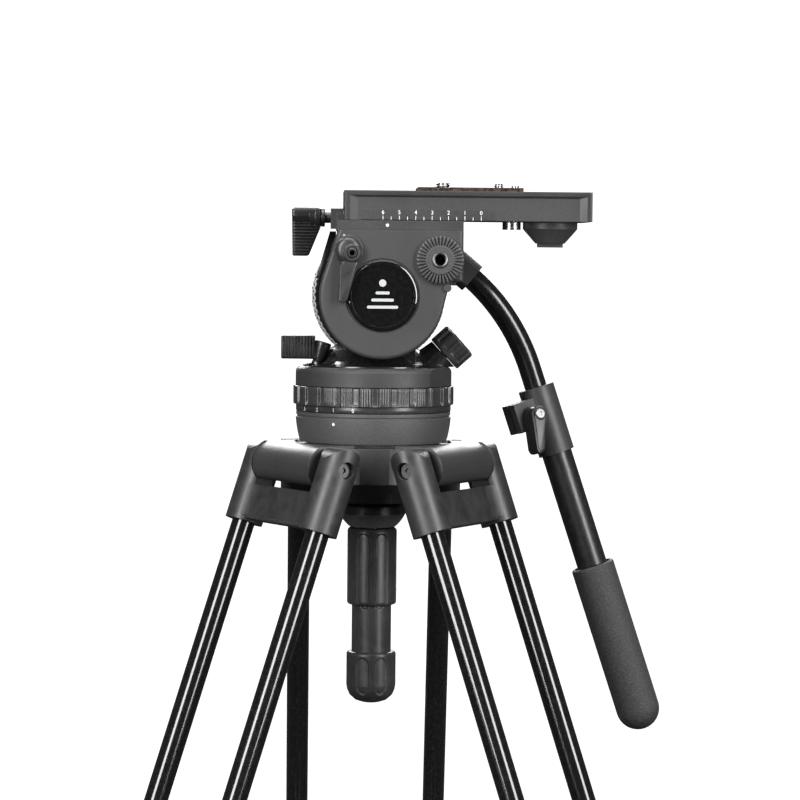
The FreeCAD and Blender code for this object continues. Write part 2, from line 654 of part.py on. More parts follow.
def build_tilt_lock_lever():
    centre = V(-14.8, NEAR_FRONT - GAP, 135.1)
    toward = V(0, -1, 0)
    base = rod(centre, toward, 8.8, 3.5)
    dome = taper(centre + toward * 3.5, toward, 8.8, 6.6, 3.6)
    stem = rod(centre + V(0, 10.5, 0), toward, 3.0, 11)
    blade = prism_xz([(-19.6, 133.0), (-11.0, 133.0), (-15.6, 107.0), (-24.2, 106.0)],
                     NEAR_FRONT - 6.4, NEAR_FRONT - 1.0)
    tip = rod(V(-19.9, NEAR_FRONT - 1.0, 106.5), toward, 4.3, 5.4)
    body = fuse([base, dome, stem, blade, tip])
    return raised(body.cut(rod(centre + toward * 5.0, toward, 2.6, 10)))


# ---- sliding camera plate ----
def build_camera_plate():
    body = box(PLATE_LEFT, PLATE_RIGHT, -PLATE_HALF, PLATE_HALF, PLATE_LOW, PLATE_TOP)
    upright = [edge for edge in body.Edges
               if abs(edge.Vertexes[0].Z - edge.Vertexes[1].Z) > 1]
    body = body.makeFillet(PLATE_CORNER_R, upright)
    cuts = [box(PLATE_LEFT - 1, PLATE_RIGHT - 8, -CHANNEL_HALF, CHANNEL_HALF,
                PLATE_LOW - 1, CHANNEL_ROOF)]
    for side in (-1, 1):
        face = side * PLATE_HALF
        inner = face - side * 1.6
        low_face = Part.makePolygon([V(-16, face, 154), V(129, face, 154), V(129, face, 170.4),
                                     V(-16, face, 170.4), V(-16, face, 154)])
        high_face = Part.makePolygon([V(-11.5, inner, 154), V(124.5, inner, 154),
                                      V(124.5, inner, 169.4), V(-11.5, inner, 169.4),
                                      V(-11.5, inner, 154)])
        cuts.append(Part.makeLoft([low_face, high_face], True, True))
    cuts.append(rod(V(42.0, 0, 160), UP, 4.7625 + 0.2, 20))
    cuts.append(rod(V(76.6, 0, 160), UP, 3.175 + 0.2, 20))
    cuts.append(rod(V(87.0, 0, 160), UP, 2.3 + RUN, 20))
    cuts.append(rod(V(109.0, 0, 160), UP, 4.0 + RUN, 11))
    return raised(carve(body, cuts))


def build_plate_pad():
    pad = box(26.0, 90.5, -24.0, 24.0, PLATE_TOP, 175.9)
    cuts = [rod(V(42.0, 0, 170), UP, 6.4, 10), rod(V(76.6, 0, 170), UP, 5.0, 10),
            rod(V(87.0, 0, 170), UP, 2.9, 10)]
    return raised(carve(pad, cuts))


def camera_screw(x, radius, head_r, top):
    """Captive screw: relieved shank through the plate, full thread above the pad."""
    head = rod(V(x, 0, 160.2), UP, head_r, CHANNEL_ROOF - 0.2 - 160.2)
    relief = rod(V(x, 0, 160.2), UP, radius - 0.5, THREAD_START - 160.2)
    thread = rod(V(x, 0, THREAD_START), UP, radius, top - THREAD_START)
    slot = box(x - head_r, x + head_r, -0.8, 0.8, 160.0, 161.2)
    return raised(fuse([head, relief, thread]).cut(slot))


def build_video_pin():
    pin = rod(V(87.0, 0, 151.0), UP, 2.3, 26.8)
    button = rod(V(85.0, 0, 150.4), UP, 5.7, 4.6)
    return raised(fuse([pin, button]))


def build_plate_knob():
    stem = rod(V(109.0, 0, 142.0), UP, 4.0, 28.4)
    low = PLATE_LOW - GAP
    grip = revolve([(0, 142.0), (9.0, 142.0), (10.5, 143.6), (16.5, 150.4), (17.0, 151.0),
                    (17.0, low), (0, low)])
    fin = box(-8, 8, -1.6, 1.6, 139.6, 143.0)
    body = fuse([stem, moved(fuse([grip, fin]), V(109.0, 0, 0))])
    return raised(body)


# ---- pan bar ----
BAR_LEAN = math.radians(BAR_LEAN_DEG)
BAR_DIR = V(math.sin(BAR_LEAN), 0, -math.cos(BAR_LEAN))
BAR_LEFT = V(-math.cos(BAR_LEAN), 0, -math.sin(BAR_LEAN))
BAR_T = V(BAR_START_X, BAR_Y, BAR_START_Z)


def bar_point(distance):
    return BAR_T + BAR_DIR * distance


def bent_rod(radius, straight_end):
    """The inner tube's solid: short straight, bend, long straight."""
    centre = BAR_T + BAR_LEFT * BAR_BEND_R

    def on_bend(degrees):
        a = math.radians(degrees)
        return centre + V(BAR_BEND_R * math.cos(a), 0, BAR_BEND_R * math.sin(a))

    mid = (BAR_LEAN_DEG + BAR_BEND_END_DEG) / 2
    end = math.radians(BAR_BEND_END_DEG)
    upper_dir = V(-math.sin(end), 0, math.cos(end))
    high = on_bend(BAR_BEND_END_DEG)
    top = high + upper_dir * 8.0
    path = Part.Wire([
        Part.makeLine(top, high),
        Part.Arc(high, on_bend(mid), BAR_T).toShape(),
        Part.makeLine(BAR_T, bar_point(straight_end)),
    ])
    section = Part.Wire([Part.makeCircle(radius, top, upper_dir)])
    return path.makePipeShell([section], True, True), top, upper_dir


def build_pan_bar_inner():
    outer = bent_rod(BAR_IN_R, 150.0)[0]
    bore = bent_rod(BAR_IN_R - 1.2, 150.0)[0]
    return raised(outer.cut(bore))


def build_pan_bar_clamp():
    tube, top, upper_dir = bent_rod(BAR_IN_R, 150.0)
    hub_part = rod(V(ROSETTE_X, 53.9, ROSETTE_Z), ALONG_Y, ROSETTE_R, 15.6)
    socket = rod(top + upper_dir * 9.0, upper_dir * -1, 10.2, 21.0)
    socket = socket.common(box(-100, 200, 53.9, 80, 0, 200))
    hole = rod(V(ROSETTE_X, 50, ROSETTE_Z), ALONG_Y, 3.0 + RUN, 40)
    spot_face = rod(V(ROSETTE_X, 69.5, ROSETTE_Z), ALONG_Y, 8.4, 10)
    return raised(carve(fuse([hub_part, socket]), [tube, hole, spot_face]))


def build_pan_bar_screw():
    shank = rod(V(ROSETTE_X, 46.0, ROSETTE_Z), ALONG_Y, 3.0, 28)
    grip = rod(V(ROSETTE_X, 69.5 + GAP, ROSETTE_Z), ALONG_Y, 8.0, 12)
    wing = box(ROSETTE_X - 17, ROSETTE_X + 17, 73, 79.5, ROSETTE_Z - 3.0, ROSETTE_Z + 3.0)
    return raised(fuse([shank, grip, wing]))


def build_pan_bar_outer():
    tube = rod(bar_point(20.0), BAR_DIR, BAR_OUT_R, 216.0)
    bore = rod(bar_point(19.0), BAR_DIR, BAR_IN_R + RUN, 218.0)
    return raised(tube.cut(bore))


CLAMP_TURN = math.radians(CLAMP_TURN_DEG)
EAR_DIR = BAR_LEFT * math.cos(CLAMP_TURN) + V(0, -math.sin(CLAMP_TURN), 0)
LEVER_DIR = BAR_LEFT * -math.sin(CLAMP_TURN) + V(0, -math.cos(CLAMP_TURN), 0)


def in_clamp_frame(shape):
    """From ear = +X, lever side = +Y, bar = +Z to the collar's place."""
    matrix = FreeCAD.Matrix(
        EAR_DIR.x, LEVER_DIR.x, BAR_DIR.x, BAR_T.x,
        EAR_DIR.y, LEVER_DIR.y, BAR_DIR.y, BAR_T.y,
        EAR_DIR.z, LEVER_DIR.z, BAR_DIR.z, BAR_T.z,
        0, 0, 0, 1)
    placed = shape.copy()
    placed.transformShape(matrix, True)
    return placed


EAR_REACH = 25.0
EAR_SCREW = 15.5
EAR_S = 28.0


def build_pan_bar_collar():
    barrel = rod(V(0, 0, 12.6), UP, 11.7, 44.3)
    ears = box(0, EAR_REACH, -7.0, 7.0, 18.0, 37.0)
    body = fuse([barrel, ears])
    cuts = [rod(V(0, 0, 0), UP, BAR_IN_R + RUN, 20.0),
            rod(V(0, 0, 20.0), UP, BAR_OUT_R, 60),
            box(9.0, EAR_REACH + 1, -1.0, 1.0, 10, 60),
            rod(V(EAR_SCREW, -3, EAR_S), ALONG_Y, 2.5 + RUN, 20)]
    return raised(in_clamp_frame(carve(body, cuts)))


def build_collar_lever():
    """The lever folds outward from the bar about its own screw."""
    y0 = 7.0 + GAP
    hub_part = rod(V(EAR_SCREW, y0, EAR_S), ALONG_Y, 5.7, 12.5)
    blade = box(EAR_SCREW - 2.4, EAR_SCREW + 3.4, y0 + 0.6, y0 + 12.0, EAR_S, EAR_S + 23)
    flare = box(EAR_SCREW - 3.6, EAR_SCREW + 4.6, y0 + 0.6, y0 + 12.0, EAR_S, EAR_S + 10)
    stem = rod(V(EAR_SCREW, -2.5, EAR_S), ALONG_Y, 2.5, 12)
    tip = rod(V(EAR_SCREW + 0.5, y0 + 0.6, EAR_S + 23), ALONG_Y, 2.9, 11.4)
    return raised(in_clamp_frame(fuse([hub_part, blade, flare, stem, tip])))


def build_grip():
    barrel = rod(bar_point(134.8), BAR_DIR, 14.0, 96.5)
    end = Part.makeSphere(14.0, bar_point(231.3))
    body = fuse([barrel, end])
    bore = rod(bar_point(130.0), BAR_DIR, BAR_OUT_R, 106.0)
    return raised(body.cut(bore))


# ---- write every node ----
os.makedirs("parts", exist_ok=True)

save("spider", build_spider())
save("hinge_bolts", build_hinge_bolts())

leg_pieces = {
    "yoke": yoke(),
    "upper_tubes": upper_tubes(),
    "casting": casting(),
    "leg_lock": leg_lock(),
    "lower_tube": lower_tube(),
    "foot": foot(),
}
spreader_pieces = {
    "spreader_sleeve": sleeve(),
    "spreader_rod": spreader_rod(),
}
for number, azimuth in enumerate(LEG_AZIMUTHS, start=1):
    for name, shape in leg_pieces.items():
        save(name + "_" + str(number), on_leg(shape, azimuth))
    for name, shape in spreader_pieces.items():
        save(name + "_" + str(number), on_spreader(shape, azimuth))
save("spreader_hub", hub())

save("half_ball", build_half_ball())
save("bowl_stud", build_bowl_stud())
save("clamp_ring", build_clamp_ring())
save("clamp_dish", build_clamp_dish())
save("clamp_knob", build_clamp_knob())
save("clamp_knob_cap", build_clamp_cap())
save("base_collar", build_base_collar())
save("pan_drag_ring", build_pan_drag_ring())
save("pan_housing", build_pan_housing())
save("pan_cradle", build_pan_cradle())
save("counterbalance_knob", build_counterbalance_knob())
save("pan_lock_lever", build_pan_lock_lever())
save("tilt_body", build_tilt_body())
save("tilt_side_plate", build_side_plate())
save("tilt_drag_ring", build_tilt_drag_ring())
save("badge_disc", build_badge())
save("rosettes", build_rosettes())
save("plate_clamp", build_plate_clamp())
save("plate_lock_lever", build_plate_lock_lever())
save("tilt_lock_lever", build_tilt_lock_lever())
save("camera_plate", build_camera_plate())
save("plate_pad", build_plate_pad())
save("camera_screw_3_8", camera_screw(42.0, 4.7625, 9.0, 179.8))
save("camera_screw_1_4", camera_screw(76.6, 3.175, 4.6, 179.4))
save("video_pin", build_video_pin())
save("plate_knob", build_plate_knob())
save("pan_bar_clamp", build_pan_bar_clamp())
save("pan_bar_screw", build_pan_bar_screw())
save("pan_bar_inner", build_pan_bar_inner())
save("pan_bar_outer", build_pan_bar_outer())
save("pan_bar_collar", build_pan_bar_collar())
save("collar_lever", build_collar_lever())
save("pan_bar_grip", build_grip())
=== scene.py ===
import json
import math

import bmesh
import bpy
from mathutils import Matrix, Vector


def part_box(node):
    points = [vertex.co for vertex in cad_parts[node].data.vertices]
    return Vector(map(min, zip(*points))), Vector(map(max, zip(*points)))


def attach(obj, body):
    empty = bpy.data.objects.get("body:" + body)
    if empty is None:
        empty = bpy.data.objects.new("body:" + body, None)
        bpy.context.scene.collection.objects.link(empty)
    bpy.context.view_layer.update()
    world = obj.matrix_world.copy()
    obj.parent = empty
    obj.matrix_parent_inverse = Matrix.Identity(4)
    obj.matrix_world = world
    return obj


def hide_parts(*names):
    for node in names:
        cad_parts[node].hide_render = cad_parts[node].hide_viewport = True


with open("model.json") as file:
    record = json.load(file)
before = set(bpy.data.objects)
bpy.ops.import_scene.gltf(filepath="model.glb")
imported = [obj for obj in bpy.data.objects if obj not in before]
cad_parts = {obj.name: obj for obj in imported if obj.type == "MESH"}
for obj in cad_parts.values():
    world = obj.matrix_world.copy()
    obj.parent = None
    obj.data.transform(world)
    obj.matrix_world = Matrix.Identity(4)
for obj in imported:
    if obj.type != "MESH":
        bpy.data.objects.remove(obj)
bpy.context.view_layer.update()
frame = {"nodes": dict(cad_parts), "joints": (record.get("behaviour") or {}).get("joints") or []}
nodes = frame["nodes"]
joints = {joint["name"]: joint for joint in frame["joints"]}

# Positions are in metres. Profiles, outlines and offsets are in millimetres.
MM = 0.001
ALONG_X = Vector((1, 0, 0))
ALONG_Y = Vector((0, 1, 0))
UP = Vector((0, 0, 1))


def pivot(joint):
    return Vector(joints[joint]["pos_m"])


def axis_of(joint):
    return Vector(joints[joint]["axis"]).normalized()


def low(node):
    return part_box(node)[0]


def high(node):
    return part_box(node)[1]


def middle(node):
    return (low(node) + high(node)) / 2


def size_mm(node):
    return (high(node) - low(node)) / MM


def shifted(point, x=0.0, y=0.0, z=0.0):
    """A point moved by some millimetres."""
    return point + Vector((x, y, z)) * MM


def on_pan_axis(height):
    centre = pivot("pan_turn")
    return Vector((centre.x, centre.y, height))


# ------------------------------------------------------------------ materials
EDGE = 0.0005
FINE_EDGE = 0.0003
BEVEL_SAMPLES = 4
COAT_ROUGHNESS = 0.06
WORN_REACH = 0.0006
WORN_FULLY = 0.86


class Nodes:
    """Small builder for one node material."""

    def __init__(self, name, color, metallic=0.0, roughness=None, coat=0.0, specular=0.5):
        self.mat = bpy.data.materials.new(name)
        self.mat.use_nodes = True
        self.tree = self.mat.node_tree
        self.tree.nodes.clear()
        self.out = self.add("ShaderNodeOutputMaterial")
        self.bsdf = self.add("ShaderNodeBsdfPrincipled")
        self.link(self.bsdf, "BSDF", self.out, "Surface")
        inputs = self.bsdf.inputs
        inputs["Base Color"].default_value = (*color, 1)
        inputs["Metallic"].default_value = metallic
        inputs["Specular IOR Level"].default_value = specular
        if roughness is not None:
            inputs["Roughness"].default_value = roughness
        if coat:
            inputs["Coat Weight"].default_value = coat
            inputs["Coat Roughness"].default_value = COAT_ROUGHNESS
        self.coords = self.add("ShaderNodeTexCoord")

    def add(self, kind, **props):
        node = self.tree.nodes.new(kind)
        for key, value in props.items():
            setattr(node, key, value)
        return node

    def link(self, a, out, b, inp):
        self.tree.links.new(a.outputs[out], b.inputs[inp])

    def noise(self, scale, detail=3.0, rough=0.55, stretch=None, distort=0.0):
        node = self.add("ShaderNodeTexNoise")
        node.inputs["Scale"].default_value = scale
        node.inputs["Detail"].default_value = detail
        node.inputs["Roughness"].default_value = rough
        node.inputs["Distortion"].default_value = distort
        if stretch:
            mapping = self.add("ShaderNodeMapping")
            mapping.inputs["Scale"].default_value = stretch
            self.link(self.coords, "Object", mapping, "Vector")
            self.link(mapping, "Vector", node, "Vector")
        else:
            self.link(self.coords, "Object", node, "Vector")
        return node

    def cells(self, scale):
        node = self.add("ShaderNodeTexVoronoi")
        node.inputs["Scale"].default_value = scale
        self.link(self.coords, "Object", node, "Vector")
        return node

    def ramp(self, source, out, stops):
        """Colours at places along a value; stops run upward."""
        node = self.add("ShaderNodeValToRGB")
        elements = node.color_ramp.elements
        elements[0].position, elements[0].color = stops[0][0], (*stops[0][1], 1)
        elements[1].position, elements[1].color = stops[-1][0], (*stops[-1][1], 1)
        for position, color in stops[1:-1]:
            element = elements.new(position)
            element.color = (*color, 1)
        self.link(source, out, node, "Fac")
        return node

    def spread(self, source, out, low, high):
        """The middle of a noise value stretched over a range."""
        node = self.add("ShaderNodeMapRange")
        node.inputs["From Min"].default_value = 0.3
        node.inputs["From Max"].default_value = 0.7
        node.inputs["To Min"].default_value = low
        node.inputs["To Max"].default_value = high
        self.link(source, out, node, "Value")
        return node

    def worn_edges(self, ramp, light, amount):
        """Edges a little lighter, where the surface normal and a rounded one part."""
        bevel = self.add("ShaderNodeBevel", samples=BEVEL_SAMPLES)
        bevel.inputs["Radius"].default_value = WORN_REACH
        geometry = self.add("ShaderNodeNewGeometry")
        dot = self.add("ShaderNodeVectorMath", operation="DOT_PRODUCT")
        self.link(bevel, "Normal", dot, 0)
        self.link(geometry, "Normal", dot, 1)
        edge = self.add("ShaderNodeMapRange")
        edge.inputs["From Min"].default_value = 1.0
        edge.inputs["From Max"].default_value = WORN_FULLY
        edge.inputs["To Max"].default_value = amount
        self.link(dot, "Value", edge, "Value")
        mix = self.add("ShaderNodeMix", data_type="RGBA")
        self.link(edge, "Result", mix, "Factor")
        self.link(ramp, "Color", mix, "A")
        mix.inputs["B"].default_value = (*light, 1)
        return mix

    def relief(self, layers, edge=None):
        """Bump layers (source, output, strength, distance) over rounded edges."""
        last = None
        if edge:
            bevel = self.add("ShaderNodeBevel", samples=BEVEL_SAMPLES)
            bevel.inputs["Radius"].default_value = edge
            last = bevel
        for source, out, strength, distance in layers:
            bump = self.add("ShaderNodeBump")
            bump.inputs["Strength"].default_value = strength
            bump.inputs["Distance"].default_value = distance
            self.link(source, out, bump, "Height")
            if last:
                self.link(last, "Normal", bump, "Normal")
            last = bump
        self.link(last, "Normal", self.bsdf, "Normal")


def gray(v):
    return (v, v, v)


def powder_coat(name, level, speck=2600.0, rough=(0.42, 0.6), bump=0.25):
    """Textured powder coat: fine grains, each a little lighter or darker."""
    n = Nodes(name, gray(level), specular=0.45)
    grain = n.noise(speck, 2.0, 0.6)
    cloud = n.noise(38.0, 3.0)
    color = n.ramp(grain, "Fac", [(0.30, gray(level * 0.55)), (0.50, gray(level)),
                                  (0.72, gray(level * 1.9))])
    worn = n.worn_edges(color, gray(level * 2.2), amount=0.35)
    n.link(worn, "Result", n.bsdf, "Base Color")
    n.link(n.spread(cloud, "Fac", *rough), "Result", n.bsdf, "Roughness")
    n.relief([(grain, "Fac", bump, 0.0002)], EDGE)
    return n.mat


def moulded(name, level, rough, mottled=0.35, bump=0.12, edge=EDGE):
    """Moulded nylon: faint flow marks, satin sheen, fine texture."""
    n = Nodes(name, gray(level))
    flow = n.noise(55.0, 5.0, 0.6, distort=1.2)
    fine = n.noise(1500.0, 2.0)
    color = n.ramp(flow, "Fac", [(0.3, gray(level * (1 - mottled))),
                                 (0.7, gray(level * (1 + mottled)))])
    worn = n.worn_edges(color, gray(level * 2.0), amount=0.3)
    n.link(worn, "Result", n.bsdf, "Base Color")
    n.link(n.spread(flow, "Fac", *rough), "Result", n.bsdf, "Roughness")
    n.relief([(fine, "Fac", bump, 0.00015), (flow, "Fac", 0.06, 0.0004)], edge)
    return n.mat


def gloss_black(name, level=0.006, rough=(0.10, 0.2), coat=0.5):
    """Gloss lacquer with faint hairlines and dust."""
    n = Nodes(name, gray(level), coat=coat)
    hair = n.noise(900.0, 4.0, 0.6, stretch=(1, 1, 0.03))
    dust = n.noise(420.0, 3.0, 0.7)
    color = n.ramp(dust, "Fac", [(0.45, gray(level * 0.7)), (0.78, gray(level * 2.2))])
    n.link(color, "Color", n.bsdf, "Base Color")
    n.link(n.spread(hair, "Fac", *rough), "Result", n.bsdf, "Roughness")
    n.relief([(hair, "Fac", 0.03, 0.0001)], FINE_EDGE)
    return n.mat


def metal(name, level, rough, stretch=(1, 1, 1)):
    """Brushed bare metal with faint stains."""
    n = Nodes(name, gray(level), metallic=1.0)
    brush = n.noise(900.0, 4.0, 0.65, stretch=stretch)
    stain = n.noise(90.0, 3.0)
    color = n.ramp(stain, "Fac", [(0.3, gray(level * 0.82)), (0.7, gray(level * 1.1))])
    n.link(color, "Color", n.bsdf, "Base Color")
    n.link(n.spread(brush, "Fac", *rough), "Result", n.bsdf, "Roughness")
    n.relief([(brush, "Fac", 0.05, 0.0001)], 0.0002)
    return n.mat


def rubber(name, level, speck=900.0):
    """Foam or tread rubber: open cells under a dusty grain."""
    n = Nodes(name, gray(level), specular=0.35)
    grain = n.cells(speck)
    fine = n.noise(1700.0, 3.0, 0.65)
    color = n.ramp(fine, "Fac", [(0.32, gray(level * 0.45)), (0.52, gray(level)),
                                 (0.70, gray(level * 2.6))])
    n.link(color, "Color", n.bsdf, "Base Color")
    n.link(n.spread(fine, "Fac", 0.55, 0.8), "Result", n.bsdf, "Roughness")
    n.relief([(grain, "Distance", 0.25, 0.0003), (fine, "Fac", 0.3, 0.0003)], EDGE)
    return n.mat


def cork(name):
    """Dark cork: crumbs of three browns."""
    n = Nodes(name, (0.05, 0.03, 0.02), specular=0.2)
    crumb = n.cells(620.0)
    fine = n.noise(1400.0, 3.0)
    color = n.ramp(crumb, "Color", [(0.2, (0.010, 0.008, 0.007)), (0.55, (0.038, 0.024, 0.017)),
                                    (0.9, (0.085, 0.05, 0.034))])
    n.link(color, "Color", n.bsdf, "Base Color")
    n.link(n.spread(fine, "Fac", 0.7, 0.95), "Result", n.bsdf, "Roughness")
    n.relief([(crumb, "Distance", 0.4, 0.0005), (fine, "Fac", 0.2, 0.0003)], FINE_EDGE)
    return n.mat


def paint(name, color):
    """Printed marking: slightly uneven ink."""
    n = Nodes(name, color, roughness=0.45)
    ink = n.noise(2600.0, 2.0)
    shade = n.ramp(ink, "Fac", [(0.25, tuple(c * 0.82 for c in color)), (0.6, color)])
    n.link(shade, "Color", n.bsdf, "Base Color")
    n.relief([(ink, "Fac", 0.1, 0.0001)])
    return n.mat


MATERIALS = {
    "coat": powder_coat("coat", 0.0315),
    # Darker copy of the coat, used only for painted shade along the plate's near side.
    "rim_shade_coat": powder_coat("rim_shade_coat", 0.017),
    "crown": powder_coat("crown", 0.030, speck=3000.0, rough=(0.36, 0.5), bump=0.16),
    "collar_coat": powder_coat("collar_coat", 0.050),
    "coat_fine": powder_coat("coat_fine", 0.033, speck=3200.0, rough=(0.34, 0.5), bump=0.16),
    "yoke": moulded("yoke", 0.024, rough=(0.34, 0.5)),
    "tube": gloss_black("tube"),
    "lacquer": gloss_black("lacquer", 0.008, rough=(0.16, 0.28), coat=0.3),
    "badge": gloss_black("badge", 0.004, rough=(0.05, 0.1), coat=0.8),
    "plastic": moulded("plastic", 0.031, rough=(0.26, 0.42), mottled=0.25, bump=0.14),
    "lever": moulded("lever", 0.012, rough=(0.22, 0.36), mottled=0.2, bump=0.08),
    "ring": moulded("ring", 0.03, rough=(0.2, 0.32), mottled=0.3, bump=0.1, edge=FINE_EDGE),
    "cast": powder_coat("cast", 0.13, speck=1800.0, rough=(0.4, 0.55), bump=0.12),
    "face": metal("face", 0.10, rough=(0.34, 0.48), stretch=(1, 1, 0.05)),
    "dark_steel": metal("dark_steel", 0.10, rough=(0.3, 0.45)),
    "rosette": powder_coat("rosette", 0.045, speck=3200.0, rough=(0.34, 0.5), bump=0.12),
    "steel": metal("steel", 0.5, rough=(0.2, 0.34)),
    "rubber": rubber("rubber", 0.034),
    "foot": rubber("foot", 0.02, speck=500.0),
    "cork": cork("cork"),
    "white": paint("white", (0.78, 0.78, 0.78)),
    "silver_print": paint("silver_print", (0.42, 0.43, 0.44)),
    # Pale paint used as painted highlight on the raised ribbons of the tilt drag rim.
    "ribbon_highlight_paint": paint("ribbon_highlight_paint", (0.55, 0.55, 0.54)),
    "bright_steel": metal("bright_steel", 0.42, rough=(0.38, 0.5)),
    "housing": powder_coat("housing", 0.0255),
    "satin_tube": gloss_black("satin_tube", 0.010, rough=(0.30, 0.40), coat=0.12),
    "bar_tube": gloss_black("bar_tube", 0.007, rough=(0.18, 0.28), coat=0.28),
    "lever_face": moulded("lever_face", 0.055, rough=(0.3, 0.45), mottled=0.2, bump=0.08),
}


def dress(obj, material):
    obj.data.materials.clear()
    obj.data.materials.append(MATERIALS[material])


# --------------------------------------------------------------- mesh helpers
CORNER_STEPS = 5


def make(name, mesh, material, body, sharp=38):
    """Piece that rides on a body, smooth but for edges sharper than the angle given."""
    for polygon in mesh.polygons:
        polygon.use_smooth = True
    mesh.set_sharp_from_angle(angle=math.radians(sharp))
    obj = bpy.data.objects.new(name, mesh)
    bpy.context.scene.collection.objects.link(obj)
    dress(obj, material)
    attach(obj, body)
    return obj


def mesh_from(bm, name):
    bmesh.ops.recalc_face_normals(bm, faces=bm.faces)
    mesh = bpy.data.meshes.new(name)
    bm.to_mesh(mesh)
    bm.free()
    return mesh


def frame_of(axis, toward):
    """Unit vectors x, y, z with z on the axis and x as near the other direction as it can be."""
    z = Vector(axis).normalized()
    x = Vector(toward) - z * Vector(toward).dot(z)
    if x.length < 1e-3:
        x = UP - z * UP.dot(z)
    x.normalize()
    return x, z.cross(x), z


def lathe(name, profile, start, axis, toward=(1, 0, 0), relief=None, segments=180, step=None):
    """Turned shape: profile of (distance along the axis, radius) in millimetres.

    relief(angle, distance, radius) gives what is added to the radius. step splits the profile.
    """
    x, y, z = frame_of(axis, toward)
    rows = [profile[0]]
    for (t0, r0), (t1, r1) in zip(profile, profile[1:]):
        count = max(1, int(math.hypot(t1 - t0, r1 - r0) / step)) if step else 1
        for i in range(1, count + 1):
            k = i / count
            rows.append((t0 + (t1 - t0) * k, r0 + (r1 - r0) * k))
    bm = bmesh.new()
    rings = []
    for t, r in rows:
        if r < 1e-6:
            rings.append([bm.verts.new(start + z * (t * MM))])
            continue
        ring = []
        for i in range(segments):
            a = 2 * math.pi * i / segments
            radius = r + (relief(a, t, r) if relief else 0.0)
            offset = (x * math.cos(a) + y * math.sin(a)) * (radius * MM)
            ring.append(bm.verts.new(start + z * (t * MM) + offset))
        rings.append(ring)
    for low, high in zip(rings, rings[1:]):
        for i in range(segments):
            j = (i + 1) % segments
            if len(low) == 1 and len(high) > 1:
                bm.faces.new((low[0], high[i], high[j]))
            elif len(high) == 1 and len(low) > 1:
                bm.faces.new((low[i], low[j], high[0]))
            elif len(low) > 1:
                bm.faces.new((low[i], low[j], high[j], high[i]))
    return mesh_from(bm, name)


def loft(name, sections):
    """Closed skin through loops of points, capped at both ends."""
    bm = bmesh.new()
    loops = [[bm.verts.new(p) for p in section] for section in sections]
    count = len(loops[0])
    for low, high in zip(loops, loops[1:]):
        for i in range(count):
            j = (i + 1) % count
            bm.faces.new((low[i], low[j], high[j], high[i]))
    bm.faces.new(loops[0])
    bm.faces.new(loops[-1])
    return mesh_from(bm, name)


def rounded_box_loop(half_a, half_b, radius):
    """Points (a, b) round a rectangle with rounded corners."""
    radius = min(radius, half_a, half_b)
    points = []
    for quarter, (sa, sb) in enumerate(((1, 1), (-1, 1), (-1, -1), (1, -1))):
        ca = sa * (half_a - radius)
        cb = sb * (half_b - radius)
        for i in range(CORNER_STEPS + 1):
            a = math.pi / 2 * (quarter + i / CORNER_STEPS)
            points.append((ca + radius * math.cos(a), cb + radius * math.sin(a)))
    return points


def slab(name, outline, low, high, place, bevel=0.6, segments=3):
    """Plate from an outline (a, b) between two depths, with rounded edges.

    place(a, b, depth) turns millimetres into a point in metres.
    """
    bm = bmesh.new()
    bottom = [bm.verts.new(place(a, b, low)) for a, b in outline]
    top = [bm.verts.new(place(a, b, high)) for a, b in outline]
    count = len(outline)
    for i in range(count):
        j = (i + 1) % count
        bm.faces.new((bottom[i], bottom[j], top[j], top[i]))
    bottom_face = bm.faces.new(bottom)
    top_face = bm.faces.new(top)
    if bevel:
        rims = list(set(bottom_face.edges) | set(top_face.edges))
        bmesh.ops.bevel(bm, geom=rims, offset=bevel * MM, segments=segments, profile=0.5,
                        affect="EDGES", clamp_overlap=True)
    return mesh_from(bm, name)


def arc(cx, cy, radius, start, end, count=12):
    return [(cx + radius * math.cos(math.radians(start + (end - start) * i / count)),
             cy + radius * math.sin(math.radians(start + (end - start) * i / count)))
            for i in range(count + 1)]


def joined(name, meshes):
    """Several meshes as one."""
    bm = bmesh.new()
    for mesh in meshes:
        bm.from_mesh(mesh)
        bpy.data.meshes.remove(mesh)
    mesh = bpy.data.meshes.new(name)
    bm.to_mesh(mesh)
    bm.free()
    return mesh


def smooth(edge0, edge1, value):
    """0 before the first edge, 1 past the second, with a soft step between."""
    k = min(1.0, max(0.0, (value - edge0) / (edge1 - edge0)))
    return k * k * (3 - 2 * k)


def facing_front(origin):
    """Placer for outlines in x and height from an origin, with depth along +Y."""
    return lambda a, b, c: shifted(origin, a, c, b)


# ------------------------------------------------- CAD nodes: better finishes
FINISH = {
    "spider": "crown", "hinge_bolts": "dark_steel", "half_ball": "cast", "bowl_stud": "steel",
    "clamp_ring": "plastic", "clamp_dish": "cast", "base_collar": "collar_coat",
    "pan_housing": "housing", "pan_cradle": "lacquer", "tilt_body": "coat",
    "tilt_side_plate": "lacquer", "rosettes": "coat_fine", "plate_clamp": "coat_fine",
    "camera_plate": "coat", "plate_pad": "cork", "pan_bar_clamp": "coat_fine",
    "pan_bar_screw": "plastic", "pan_bar_inner": "bar_tube", "pan_bar_outer": "satin_tube",
    "pan_bar_collar": "coat_fine", "pan_bar_grip": "rubber", "spreader_hub": "plastic",
    "video_pin": "steel", "badge_disc": "badge", "plate_knob": "collar_coat",
}
for index in (1, 2, 3):
    FINISH[f"yoke_{index}"] = "yoke"
    FINISH[f"upper_tubes_{index}"] = "tube"
    FINISH[f"casting_{index}"] = "yoke"
    FINISH[f"leg_lock_{index}"] = "plastic"
    FINISH[f"lower_tube_{index}"] = "tube"
    FINISH[f"foot_{index}"] = "foot"
    FINISH[f"spreader_sleeve_{index}"] = "plastic"
    FINISH[f"spreader_rod_{index}"] = "steel"
for node_name, material_name in FINISH.items():
    dress(nodes[node_name], material_name)


# ------------------------------------------------------------ bowl clamp knob
GRIP_PANELS = 8
GRIP_RIB = 1.5


